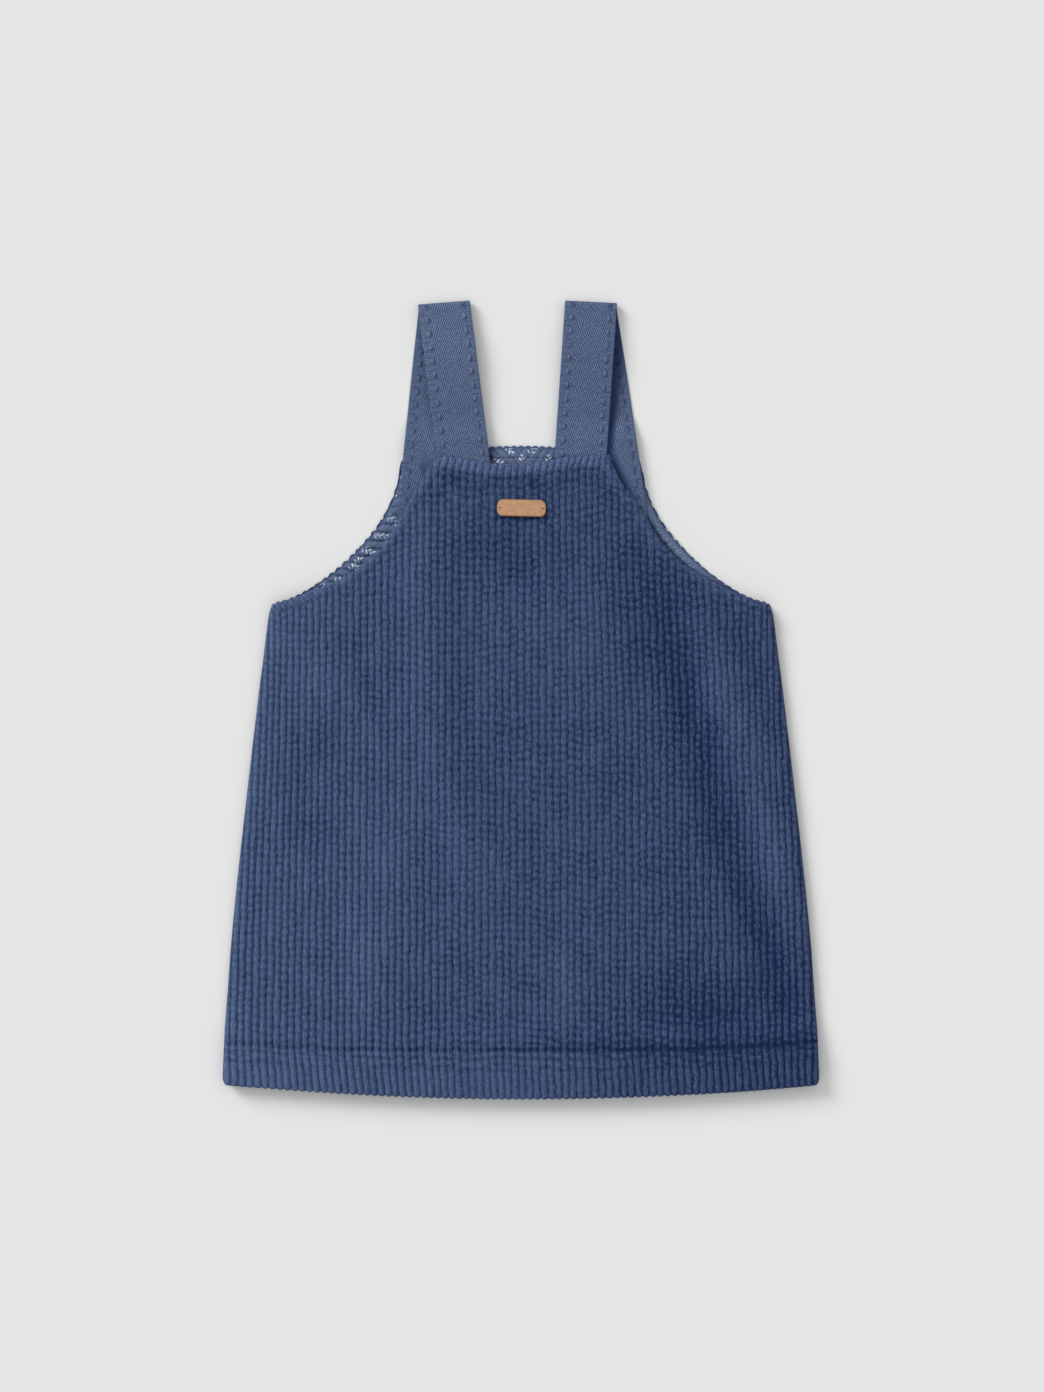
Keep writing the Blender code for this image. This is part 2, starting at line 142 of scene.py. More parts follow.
def smoothstep(value: Array, start: Union[float, Array], end: Union[float, Array]) -> Array:
    """Rises smoothly from 0 at start to 1 at end."""
    share = np.clip((np.asarray(value, float) - start) / (np.asarray(end, float) - start), 0.0, 1.0)
    return share * share * (3 - 2 * share)


def bell(distance: Array, width: float) -> Array:
    """1 at no distance, falling off smoothly on both sides."""
    return np.exp(-((distance / width) ** 2))


def rounded(distance: Array, radius: float) -> Array:
    """0 at no distance, rising in a quarter circle to 1 at the radius and beyond it."""
    return np.sqrt(1 - (1 - np.clip(distance / radius, 0, 1)) ** 2)


def spline(points: Sequence[Point], steps: int = 8) -> Array:
    """Draws a smooth curve through points.

    Args:
        points: The points that the curve goes through, in order.
        steps: How many pieces lie between two of them.

    Returns:
        The curve's x and y, a row for each place.
    """
    given = np.array(points, float)
    ends = np.vstack([2 * given[0] - given[1], given, 2 * given[-1] - given[-2]])
    share = np.linspace(0, 1, steps, endpoint=False)[:, None]
    curve = []
    for before, start, end, after in zip(ends, ends[1:], ends[2:], ends[3:]):
        curve.append(
            0.5
            * (
                2 * start
                + (end - before) * share
                + (2 * before - 5 * start + 4 * end - after) * share**2
                + (3 * start - before - 3 * end + after) * share**3
            )
        )
    return np.vstack([*curve, given[-1:]])


class EdgeLine:
    """An outline of straight runs, with its length measured along it."""

    def __init__(self, curve: Array) -> None:
        """Measures a curve.

        Args:
            curve: A row of x and y for each corner.
        """
        self.curve = curve
        self.runs = np.diff(curve, axis=0)
        self.arcs = np.concatenate([[0.0], np.cumsum(np.hypot(*self.runs.T))])
        along = np.gradient(curve, axis=0)
        along /= np.maximum(np.linalg.norm(along, axis=1), 1e-9)[:, None]
        self.inward = np.stack([along[:, 1], -along[:, 0]], axis=1)

    def measure(self, x: Array, y: Array) -> tuple[Array, Array]:
        """Finds how near the line places are, and where along it.

        Args:
            x: The places' x.
            y: The places' y.

        Returns:
            The distance of each place, and the length of the line up to its nearest point.
        """
        squared = np.maximum((self.runs**2).sum(1), 1e-12)
        distances, arcs = [np.zeros(0)], [np.zeros(0)]
        places = np.stack([x, y], axis=1)
        for chunk in np.array_split(places, max(1, len(places) // 4000)):
            offset = chunk[:, None, :] - self.curve[:-1][None]
            share = np.clip((offset * self.runs).sum(2) / squared, 0.0, 1.0)
            gap = ((offset - share[:, :, None] * self.runs) ** 2).sum(2)
            best = gap.argmin(1)
            row = np.arange(len(chunk))
            distances.append(np.sqrt(gap[row, best]))
            arcs.append(self.arcs[best] + share[row, best] * np.sqrt(squared[best]))
        return np.concatenate(distances), np.concatenate(arcs)

    def distance(self, x: Array, y: Array) -> Array:
        """The distance of each place from the line."""
        return self.measure(x, y)[0]

    def height(self, x: Array) -> Array:
        """The line's y over places across the dress."""
        return np.interp(x, self.curve[:, 0], self.curve[:, 1])

    def inset(self, left: float, right: float, reach: float) -> "EdgeLine":
        """Moves the line in.

        Args:
            left: How far, at its left end.
            right: How far, at its right end.
            reach: How far from the centre line these ends are.

        Returns:
            The line moved in, without what would run back.
        """
        share = np.clip(0.5 + self.curve[:, :1] / (2 * reach), 0, 1)
        moved = self.curve + (left + (right - left) * share) * self.inward
        return EdgeLine(moved[np.maximum.accumulate(moved[:, 0]) <= moved[:, 0] + 1e-9])

    def above(self, low: float) -> "EdgeLine":
        """The part of the line over a height."""
        return EdgeLine(self.curve[self.curve[:, 1] > low])


@dataclass(frozen=True)
class SoftNoise:
    """Smooth unevenness between -1 and 1, the same in each run."""

    seed: int
    cell_x: float
    cell_y: float
    size: int = 128

    def at(self, x: Array, y: Array) -> Array:
        """Gives the unevenness at places.

        Args:
            x: The places' x.
            y: The places' y.

        Returns:
            A value for each place.
        """
        table = np.random.default_rng(self.seed).uniform(-1, 1, (self.size, self.size))
        u = np.asarray(x, float) / self.cell_x
        v = np.asarray(y, float) / self.cell_y
        i = np.floor(u).astype(int)
        j = np.floor(v).astype(int)
        fu = smoothstep(u - i, 0.0, 1.0)
        fv = smoothstep(v - j, 0.0, 1.0)
        i, j = i % self.size, j % self.size
        i1, j1 = (i + 1) % self.size, (j + 1) % self.size
        low = table[i, j] * (1 - fu) + table[i1, j] * fu
        high = table[i, j1] * (1 - fu) + table[i1, j1] * fu
        return low * (1 - fv) + high * fv


SIDE = [
    Point(175.0, 16.0),
    Point(174.5, 34.0),
    Point(172.6, 57.8),
    Point(171.1, 81.0),
    Point(167.9, 116.6),
    Point(161.4, 175.4),
    Point(154.5, 234.2),
    Point(150.0, 269.5),
    Point(147.4, 291.0),
]
FRONT_ARMHOLE = [
    Point(147.4, 291.0),
    Point(131.0, 295.3),
    Point(117.0, 301.5),
    Point(104.0, 308.2),
    Point(90.0, 318.8),
    Point(80.0, 331.0),
    Point(73.0, 342.5),
    Point(67.0, 351.5),
    Point(59.0, 362.3),
]
BACK_ARMHOLE = [
    Point(147.4, 291.0),
    Point(139.7, 292.8),
    Point(127.0, 298.7),
    Point(110.1, 310.5),
    Point(97.6, 322.2),
    Point(87.1, 334.0),
    Point(79.6, 345.7),
    Point(74.2, 358.5),
    Point(70.5, 374.7),
]
FRONT_NECK = [
    Point(-54.6, 371.5),
    Point(-47.6, 377.0),
    Point(-32.3, 375.3),
    Point(-18.2, 373.0),
    Point(-2.9, 373.0),
    Point(11.8, 374.2),
    Point(24.7, 376.8),
    Point(37.6, 377.7),
    Point(51.6, 378.2),
]
BACK_NECK = [
    Point(-68.5, 377.7),
    Point(-40.0, 381.8),
    Point(0.0, 383.8),
    Point(40.0, 381.8),
    Point(68.5, 377.7),
]
FOLDS = [
    Fold(84.0, 308.0, 100.0, 226.0, 10.0, -2.2),
    Fold(100.0, 232.0, 124.0, 140.0, 10.0, -2.2),
    Fold(122.0, 148.0, 161.0, 46.0, 10.0, -1.9),
    Fold(106.0, 282.0, 134.0, 186.0, 9.0, 1.4),
    Fold(132.0, 194.0, 157.0, 124.0, 9.0, 1.2),
    Fold(76.0, 62.0, 136.0, 46.0, 17.0, -1.5),
    Fold(-58.0, 345.0, -54.0, 206.0, 11.0, 1.5),
    Fold(-55.0, 214.0, -22.0, 118.0, 12.0, 1.3),
    Fold(-138.0, 232.0, -118.0, 146.0, 11.0, -1.1),
    Fold(-96.0, 112.0, -92.0, 44.0, 12.0, 1.1),
]

CREASES = [
    Fold(124.0, 284.0, 154.0, 212.0, 7.0, -0.9),
    Fold(68.0, 300.0, 84.0, 215.0, 9.0, 0.6),
    Fold(-104.0, 268.0, -84.0, 225.0, 8.0, -0.8),
    Fold(24.0, 92.0, 28.0, 42.0, 8.0, 0.9),
    Fold(-50.0, 222.0, 58.0, 224.0, 3.5, 0.5),
    Fold(-30.0, 352.0, 34.0, 350.0, 9.0, -0.5),
    Fold(-16.0, 345.0, 8.0, 300.0, 11.0, -0.7),
]


@dataclass(frozen=True)
class DressShape:
    """The dress's cut and how its layers lie on each other."""

    length: float = 469.0
    half_width: float = 175.0
    cloth: float = 2.0
    facing: float = 1.0
    tape: float = 1.4
    gap: float = 0.3
    wales: int = 83
    hem_rise: float = 8.5
    hem_corner: float = 3.0
    turn_up: float = 1.6
    turn_up_top: float = 28.3
    turn_up_lift: float = 4.8
    stitch_low: float = 23.2
    stitch_rise: float = 6.2
    left_armhole_in: float = 2.4
    side_roll: float = 6.0
    edge_thin: float = 0.5
    loft: float = 2.9
    bib_loft: float = 0.4
    bib_lean: float = 4.0
    side_fan: float = 10.0
    underarm: float = 291.0
    lean_left: float = 0.13
    lean_middle: float = 0.04
    lean_right: float = 0.08

    @property
    def pitch(self) -> float:
        """The width of one wale."""
        return 2 * self.half_width / self.wales

    def outline(
        self, armhole: Sequence[Point], neck: Sequence[Point], left_in: float = 0.0
    ) -> EdgeLine:
        """Joins a panel's sides, armholes and neckline.

        Args:
            armhole: The right armhole, from the underarm up.
            neck: The neckline, from left to right.
            left_in: How far the left armhole lies further in than the right one.

        Returns:
            The outline over the hem, from the left corner to the right one.
        """
        right = np.vstack([spline(armhole)[::-1], spline(SIDE)[::-1]])
        curve = np.vstack([right[::-1] * (-1, 1), spline(neck), right])
        x, y = curve.T
        share = smoothstep(y, 294.0, 310.0) * (1 - smoothstep(y, 342.0, 362.0)) * (x < 0)
        return EdgeLine(np.stack([x + left_in * share, y], axis=1))

    def half_width_at(self, y: Array) -> Array:
        """The panels' half width at a height, up to the underarm."""
        side = spline(SIDE)
        return np.interp(y, side[:, 1], side[:, 0])

    def hem(self, x: Array) -> Array:
        """The lower edge's height: it sags in the middle, and its corners are rounded."""
        share = np.minimum(1.0, np.abs(x) / self.half_width)
        corner = np.clip((np.abs(x) - self.half_width + self.hem_corner) / self.hem_corner, 0, 1)
        return self.hem_rise * share**2 + self.hem_corner * (1 - np.sqrt(1 - corner**2))

    def hem_top(self, x: Array) -> Array:
        """The height of the turn-up's edge, which rises towards the sides."""
        return self.turn_up_top + self.turn_up_lift * (x / self.half_width) ** 4

    def hem_stitch(self, x: Array) -> Array:
        """The height of the stitches that hold the turn-up."""
        return self.stitch_low + self.stitch_rise * (x / self.half_width) ** 2

    def wale_x(self, s: Array, y: Array) -> Array:
        """Finds where a line up the cloth lies.

        Args:
            s: The line's distance from the centre line at the hem.
            y: The height.

        Returns:
            The line's x there.
        """
        across = s / self.half_width
        fan = -np.sign(s) * self.side_fan * across**4 * smoothstep(y, self.turn_up_top, self.underarm)
        bib = -self.bib_lean * smoothstep(s, 10.0, 70.0) * (1 - smoothstep(s, 110.0, 145.0))
        bib = bib * smoothstep(y, 200.0, 350.0)
        side = np.where(across < 0, self.lean_left, self.lean_right)
        lean = self.lean_middle + (side - self.lean_middle) * np.minimum(1.0, np.abs(across) * 1.4)
        below = np.maximum(0.0, self.hem_top(s) - y)
        return s + fan + bib + lean * below * (1 - across**6)

    def line_end(self, s: Array, edge: EdgeLine) -> Array:
        """Finds where lines up the cloth meet an outline.

        Args:
            s: The lines' distances from the centre line at the hem.
            edge: The outline.

        Returns:
            The height of each line's end.
        """
        low, high = self.hem(s), np.full(len(s), self.length)
        for _ in range(30):
            middle = (low + high) / 2
            inside = edge.height(self.wale_x(s, middle)) > middle
            low, high = np.where(inside, middle, low), np.where(inside, high, middle)
        return low

    def fold_lift(self, x: Array, y: Array) -> Array:
        """How far the soft folds lift the front, or lower it."""
        return sum((fold.lift(x, y) for fold in FOLDS + CREASES), np.zeros(np.shape(x)))

    def side_share(self, x: Array, y: Array) -> Array:
        """0 at the side seams, rising in a round roll to 1 inside."""
        return rounded(self.half_width_at(y) - np.abs(x), self.side_roll)

    def turn_up_share(self, x: Array, y: Array, soft: float = 1.6) -> Array:
        """1 in the hem's turn-up and 0 above it."""
        return 1 - smoothstep(y, self.hem_top(x) - soft, self.hem_top(x) + soft)

    def front_under(self, x: Array, y: Array) -> Array:
        """Lays the front's under face over the back, the facing and the ends of the straps.

        Args:
            x: The points' x.
            y: The points' y.

        Returns:
            The height of each point.
        """
        facing = (self.facing + self.gap) * smoothstep(y, 250.0, 290.0)
        straps = 2 * (self.tape + self.gap) * smoothstep(y, 305.0, 350.0)
        straps = straps - 0.8 * bell(x, 13.0) * smoothstep(y, 330.0, 370.0)
        top = self.hem_top(x)
        turn_up = self.turn_up * (1 - smoothstep(y, top + 1.0, top + 22.0))
        loft = self.loft + (self.bib_loft - self.loft) * smoothstep(y, 290.0, 350.0)
        inner = loft + self.fold_lift(x, y) + facing + straps
        return self.cloth + self.gap + turn_up + self.side_share(x, y) * inner

    def front_thickness(self, x: Array, y: Array) -> Array:
        """The front's thickness at its wales' crests, doubled in the turn-up."""
        thin = self.edge_thin * (1 - self.side_share(x, y))
        return self.cloth + self.turn_up * self.turn_up_share(x, y) - thin


@dataclass(frozen=True)
class Placing:
    """Turns places on the dress into places in the frame."""

    middle: float

    def place(self, points: Array) -> Array:
        """Gives the frame's metres for points in millimetres on the dress."""
        return (np.asarray(points, float) - (0.0, self.middle, 0.0)) * MM


# --- meshes ---


def zip_faces(left: Sequence[tuple], right: Sequence[tuple]) -> list[tuple]:
    """Fills the strip between two lines of points with triangles.

    Args:
        left: The left line's points, each its number and its height.
        right: The right line's points, in the same form.

    Returns:
        The triangles, as numbers of points.
    """
    faces = []
    a = b = 0
    last_a, last_b = len(left) - 1, len(right) - 1
    while a < last_a or b < last_b:
        if b == last_b or (a < last_a and left[a + 1][1] <= right[b + 1][1]):
            faces.append((left[a][0], right[b][0], left[a + 1][0]))
            a += 1
        else:
            faces.append((left[a][0], right[b][0], right[b + 1][0]))
            b += 1
    return faces


def show(name: str, data: bpy.types.ID) -> Item:
    """Puts an object with its data in the scene."""
    item = bpy.data.objects.new(name, data)
    bpy.context.scene.collection.objects.link(item)
    return item


def stack_faces(rings: int, count: int) -> list[tuple]:
    """Closes a stack of rings with four-sided faces and a face over each end.

    Args:
        rings: How many rings there are.
        count: How many points each ring has.

    Returns:
        The faces, as numbers of points.
    """
    faces = []
    for first in range(0, (rings - 1) * count, count):
        for a in range(count):
            b = (a + 1) % count
            faces.append((first + a, first + b, first + count + b, first + count + a))
    top = range((rings - 1) * count, rings * count)
    return [*faces, tuple(range(count))[::-1], tuple(top)]


def make_mesh(
    name: str,
    points: Array,
    faces: Sequence[Sequence[int]],
    placing: Placing,
    uv: Optional[Array] = None,
    values: Optional[dict[str, Array]] = None,
) -> Item:
    """Makes a smooth mesh object whose faces point outwards.

    Args:
        name: The piece's name.
        points: The points, in millimetres on the dress.
        faces: The faces, as numbers of points.
        placing: Where the dress lies in the frame.
        uv: A map place for each point.
        values: Named values for each point.

    Returns:
        The object, at the origin.
    """
    mesh = bpy.data.meshes.new(name)
    mesh.from_pydata(placing.place(points).tolist(), [], [tuple(face) for face in faces])
    shaper = bmesh.new()
    shaper.from_mesh(mesh)
    bmesh.ops.recalc_face_normals(shaper, faces=shaper.faces)
    shaper.to_mesh(mesh)
    shaper.free()
    if uv is not None:
        layer = mesh.uv_layers.new(name=CLOTH_UV)
        corners = np.zeros(len(mesh.loops), int)
        mesh.loops.foreach_get("vertex_index", corners)
        layer.data.foreach_set("uv", np.asarray(uv, np.float32)[corners].ravel())
    for key, each in (values or {}).items():
        data = mesh.attributes.new(key, "FLOAT", "POINT").data
        data.foreach_set("value", np.asarray(each, np.float32))
    mesh.shade_smooth()
    return show(name, mesh)


@dataclass
class ClothShell:
    """A closed wall of cloth between a finely modelled face and a plain one."""

    columns: list[Column]
    step: int

    def _side(self, heights: list[Array], first: int, step: int) -> tuple:
        """Numbers one face's points.

        Args:
            heights: The heights up each line.
            first: The number of the first point.
            step: How many lines a strip of the face spans. Only lines at its sides keep their inner
                points.

        Returns:
            The points' lines, heights and, for each line, its points' numbers with their heights.
        """
        s, y, lines = [], [], []
        last = len(self.columns) - 1
        for index, column in enumerate(self.columns):
            whole = index % step == 0 or index == last
            kept = heights[index] if whole else heights[index][[0, -1]]
            lines.append([(first + len(y) + k, float(h)) for k, h in enumerate(kept)])
            s += [column.s] * len(kept)
            y += list(kept)
        return np.array(s), np.array(y), lines

    def _faces(self, lines: list, step: int) -> list[tuple]:
        """Fills one face with strips.

        Args:
            lines: Each line's points, as their numbers with their heights.
            step: How many lines a strip spans.

        Returns:
            The faces, as numbers of points.
        """
        faces = []
        last = len(lines) - 1
        for a in range(0, last, step):
            b = min(a + step, last)
            foot = [lines[i][0][0] for i in range(a, b + 1)]
            head = [lines[i][-1][0] for i in range(a, b + 1)]
            faces += [(lines[a][1][0], foot[i], foot[i + 1]) for i in range(b - a)]
            faces += zip_faces(lines[a][1:], lines[b][:-1])
            faces += [(lines[b][-2][0], head[i + 1], head[i]) for i in range(b - a)]
        return faces

    def build(self, name: str, placing: Placing, fine: FaceRule, plain: FaceRule, pitch: float) -> Item:
        """Makes the wall.

        Args:
            name: The piece's name.
            placing: Where the dress lies in the frame.
            fine: Gives the fine face's points, and their values, for lines and heights.
            plain: The same for the plain face.
            pitch: The width of a wale, by which the map is measured.

        Returns:
            The piece.
        """
        last = len(self.columns) - 1
        s1, y1, outer = self._side([column.fine for column in self.columns], 0, 1)
        s2, y2, inner = self._side([column.plain for column in self.columns], len(y1), self.step)
        points1, values1 = fine(s1, y1)
        points2, values2 = plain(s2, y2)
        faces = self._faces(outer, 1)
        faces += [face[::-1] for face in self._faces(inner, self.step)]
        for a in range(last):
            for end in (0, -1):
                corners = (outer[a][end], inner[a][end], inner[a + 1][end], outer[a + 1][end])
                faces.append(tuple(number for number, _ in corners))
        for index in (0, last):
            faces += zip_faces(outer[index], inner[index])
        uv = np.stack([np.concatenate([s1, s2]), np.concatenate([y1, y2])], axis=1) / pitch
        values = {key: np.concatenate([values1[key], values2[key]]) for key in values1}
        return make_mesh(name, np.vstack([points1, points2]), faces, placing, uv, values)


# --- node trees ---

SOCKET_KINDS = {float: "Float", int: "Int", tuple: "Vector"}


class Nodes:
    """Adds nodes to a tree and joins them."""

    def __init__(self, tree: Tree) -> None:
        """Starts in a tree."""
        self.tree = tree

    def feed(self, socket: Socket, value: Feed) -> None:
        """Joins a socket to another one, or sets its value.

        Args:
            socket: The socket.
            value: The other socket, or the value.
        """
        if isinstance(value, Socket):
            self.tree.links.new(value, socket)
        else:
            socket.default_value = value

    def add(self, kind: str, settings: Optional[dict] = None, **feeds: Feed) -> bpy.types.Node:
        """Adds a node.

        Args:
            kind: Blender's name for the node.
            settings: Its properties.
            **feeds: Its inputs, by name with _ for a space.

        Returns:
            The node.
        """
        node = self.tree.nodes.new(kind)
        for key, value in (settings or {}).items():
            setattr(node, key, value)
        for key, value in feeds.items():
            self.feed(node.inputs[key.replace("_", " ")], value)
        return node

    def group(self, tree: Tree, **feeds: Feed) -> Sockets:
        """Places a node group.

        Args:
            tree: The group.
            **feeds: Its inputs, by name with _ for a space.

        Returns:
            Its outputs.
        """
        kind = tree.bl_idname.replace("Tree", "Group")
        return self.add(kind, {"node_tree": tree}, **feeds).outputs

    def math(self, operation: str, *values: Feed) -> Socket:
        """Adds a math node.

        Args:
            operation: Blender's name for what it does.
            *values: The numbers that it does it to.

        Returns:
            The result.
        """
        node = self.add("ShaderNodeMath", {"operation": operation})
        for socket, value in zip(node.inputs, values):
            self.feed(socket, value)
        return node.outputs[0]

    def times(self, *values: Feed) -> Socket:
        """Multiplies numbers."""
        return reduce(partial(self.math, "MULTIPLY"), values)

    def plus(self, first: Feed, second: Feed) -> Socket:
        """Adds two numbers."""
        return self.math("ADD", first, second)

    def minus(self, first: Feed, second: Feed) -> Socket:
        """Takes the second number from the first."""
        return self.math("SUBTRACT", first, second)

    def over(self, first: Feed, second: Feed) -> Socket:
        """Divides the first number by the second."""
        return self.math("DIVIDE", first, second)

    def line(self, value: Feed, slope: Feed, start: Feed) -> Socket:
        """A start plus a number times a slope."""
        return self.math("MULTIPLY_ADD", value, slope, start)

    def layers(self, start: Feed, *shares: tuple[Feed, float]) -> Socket:
        """Adds fields to a start, each times its share."""
        return reduce(lambda total, layer: self.line(*layer, total), shares, start)

    def bell(self, value: Feed) -> Socket:
        """1 where a number is 0, falling off smoothly on both sides."""
        return self.math("EXPONENT", self.times(value, value, -1.0))

    def ramp(self, value: Feed, start: float, end: float) -> Socket:
        """Rises evenly from 0 at start to 1 at end."""
        ends = {"From_Min": start, "From_Max": end}
        return self.add("ShaderNodeMapRange", {"clamp": True}, Value=value, **ends).outputs[0]

    def vector(self, x: Feed, y: Feed, z: Feed = 0.0) -> Socket:
        """Joins numbers into a vector."""
        return self.add("ShaderNodeCombineXYZ", X=x, Y=y, Z=z).outputs[0]

    def parts(self, vector: Feed) -> Sockets:
        """Takes a vector apart, into its X, Y and Z."""
        return self.add("ShaderNodeSeparateXYZ", Vector=vector).outputs

    def turned(self, place: Feed, angle: Feed) -> Socket:
        """Turns a place about Z."""
        about = {"rotation_type": "Z_AXIS"}
        return self.add("ShaderNodeVectorRotate", about, Vector=place, Angle=angle).outputs[0]

    def noise(
        self, place: Feed, scale: Feed = 1.0, detail: float = 1.0, roughness: float = 0.5
    ) -> Socket:
        """Smooth noise about 0.5."""
        sizes = {"Scale": scale, "Detail": detail, "Roughness": roughness}
        return self.add("ShaderNodeTexNoise", Vector=place, **sizes).outputs["Fac"]

    def mix(self, share: Feed, first: Feed, second: Feed) -> Socket:
        """Mixes two colours; a share over 1 or under 0 goes beyond them.

        Args:
            share: 0 for the first colour and 1 for the second.
            first: The first colour.
            second: The second colour.

        Returns:
            The mixed colour.
        """
        node = self.add("ShaderNodeMix", {"data_type": "RGBA", "clamp_factor": False})
        self.feed(node.inputs[0], share)
        for socket, value in zip((node.inputs[6], node.inputs[7]), (first, second)):
            self.feed(socket, (*value, 1.0) if isinstance(value, tuple) else value)
        return node.outputs[2]

    def scaled(self, vector: Feed, factor: Feed) -> Socket:
        """Makes a vector longer or shorter, or a colour lighter or darker."""
        node = self.add("ShaderNodeVectorMath", {"operation": "SCALE"}, Vector=vector, Scale=factor)
        return node.outputs[0]

    def attribute(self, name: str) -> Socket:
        """Reads a value that the piece's points carry."""
        return self.add("ShaderNodeAttribute", {"attribute_name": name}).outputs["Fac"]

    def place(self) -> Socket:
        """The place on the piece, in the frame's metres."""
        return self.add("ShaderNodeTexCoord").outputs["Object"]

    def on_cloth(self) -> Socket:
        """The place on the cloth's own map."""
        return self.add("ShaderNodeUVMap", {"uv_map": CLOTH_UV}).outputs[0]


class Group(Nodes):
    """A node group with named inputs and outputs."""

    def __init__(self, name: str, kind: str, inputs: dict, outputs: dict) -> None:
        """Starts the group.

        Args:
            name: Its name.
            kind: The kind of tree.
            inputs: Each input's default by name, or None for one of the kind that it is named for.
            outputs: The same for the outputs.
        """
        super().__init__(bpy.data.node_groups.new(name, kind))
        for in_out, sockets in (("INPUT", inputs), ("OUTPUT", outputs)):
            for key, value in sockets.items():
                socket = "NodeSocket" + (key if value is None else SOCKET_KINDS[type(value)])
                made = self.tree.interface.new_socket(key, in_out=in_out, socket_type=socket)
                if value is not None:
                    made.default_value = value
        self.given = self.add("NodeGroupInput").outputs
        self.ends = self.add("NodeGroupOutput").inputs

    def give(self, **results: Feed) -> Tree:
        """Feeds the outputs, by name, of the finished group."""
        for key, value in results.items():
            self.feed(self.ends[key], value)
        return self.tree

    def dress(self, shape: Socket) -> Tree:
        """Makes a shape's instances real, smooth and of the given material.

        Args:
            shape: The shape.

        Returns:
            The finished group.
        """
        real = self.add("GeometryNodeRealizeInstances", Geometry=shape).outputs[0]
        smooth = self.add("GeometryNodeSetShadeSmooth", Geometry=real).outputs[0]
        finish = self.given["Material"]
        return self.give(
            Geometry=self.add("GeometryNodeSetMaterial", Geometry=smooth, Material=finish).outputs[0]
        )


class Surface(Nodes):
    """The nodes of a material, round its shader."""

    def __init__(self, name: str, **values: Union[float, tuple]) -> None:
        """Starts the material.

        Args:
            name: Its name.
            **values: What is the same all over it, by the shader's names with _ for a space.
        """
        self.material = bpy.data.materials.new(name)
        self.material.use_nodes = True
        super().__init__(self.material.node_tree)
        self.shader = self.tree.nodes["Principled BSDF"]
        for key, value in values.items():
            self.shader.inputs[key.replace("_", " ")].default_value = value

    def finish(self, colour: Feed, height: Feed, strength: float, depth: float) -> Material:
        """Gives the material its colour and its fine relief.

        Args:
            colour: The colour.
            height: The relief.
            strength: How strongly the relief shows.
            depth: How deep it is, in millimetres.

        Returns:
            The material.
        """
        bump = self.add("ShaderNodeBump", Strength=strength, Distance=depth * MM, Height=height)
        self.feed(self.shader.inputs["Base Color"], colour)
        self.feed(self.shader.inputs["Normal"], bump.outputs[0])
        return self.material


@cache
def fibre_group() -> Tree:
    """The grain that every cloth and the leather share: soft flecks over fine fibres.

    Returns:
        The shader node group, whose sizes are in millimetres.
    """
    inputs = {"Fleck Size": 1.4, "Fibre Size": 0.4, "Stretch": 1.0}
    nodes = Group("fibre grain", "ShaderNodeTree", inputs, {"Fleck": 0.0, "Height": 0.0})
    drawn = nodes.add("ShaderNodeVectorMath", {"operation": "MULTIPLY"}, Vector=nodes.place())
    nodes.feed(drawn.inputs[1], nodes.vector(1.0, nodes.given["Stretch"], 1.0))
    fleck, fibre = (
        nodes.noise(drawn.outputs[0], nodes.over(1.0 / MM, nodes.given[key]), detail, 0.6)
        for key, detail in (("Fleck Size", 2.0), ("Fibre Size", 3.0))
    )
    height = nodes.line(fleck, 0.5, nodes.times(fibre, 0.5))
    return nodes.give(Fleck=nodes.ramp(fleck, 0.3, 0.7), Height=height)


@cache
def pile_group(kind: str) -> Tree:
    """The rule of the crushed pile: beads of uneven length along each wale, with soft gaps.

    The cloth's relief and its colour both follow it, so it is built for either kind of tree.

    Args:
        kind: The kind of tree.

    Returns:
        The node group. Side is 1 in a valley and 0 on a crest, Gap is 1 between two beads and 0
        on one, and Valley is how deep the relief is.
    """
    inputs = {"Wale": 0.0, "Rise": 0.0, "Crushed": 1.0, "Bead": 4.6}
    nodes = Group("crushed pile " + kind, kind, inputs, {"Side": 0.0, "Gap": 0.0, "Valley": 0.0})
    wale, rise = nodes.given["Wale"], nodes.given["Rise"]
    cell = nodes.math("FLOOR", wale)
    side = nodes.math("ABSOLUTE", nodes.line(nodes.math("FRACT", wale), 2.0, -1.0))

    def uneven(across: float, along: float, seed: float) -> Socket:
        """Smooth unevenness that lasts so many wales across and so many millimetres along."""
        at = nodes.vector(nodes.over(cell, across), nodes.over(rise, along), seed)
        return nodes.minus(nodes.noise(at, detail=0.0), 0.5)

    # The beads of a wale start at a chance height, drift with those beside it and vary in length
    chance = nodes.add("ShaderNodeTexWhiteNoise", {"noise_dimensions": "1D"}, W=cell)
    turns = nodes.line(chance.outputs["Value"], 0.45, nodes.over(rise, nodes.given["Bead"]))
    turns = nodes.layers(turns, (uneven(2.7, 55.0, 0.37), 2.0), (uneven(0.17, 22.0, 7.61), 0.9))
    wave = nodes.line(nodes.math("COSINE", nodes.times(turns, math.tau)), -0.5, 0.5)
    # The gaps between them are deep in some places and nearly closed in others
    amount = nodes.math("MAXIMUM", nodes.line(uneven(1.3, 15.0, 3.17), 1.5, 0.80), 0.4)
    amount = nodes.math("MINIMUM", amount, 1.0)
    gap = nodes.times(wave, nodes.times(amount, nodes.given["Crushed"]))
    # A crest is broad on a bead and narrow in a gap
    valley = nodes.math("POWER", side, nodes.line(gap, -0.7, 2.3))
    return nodes.give(Side=side, Gap=gap, Valley=valley)


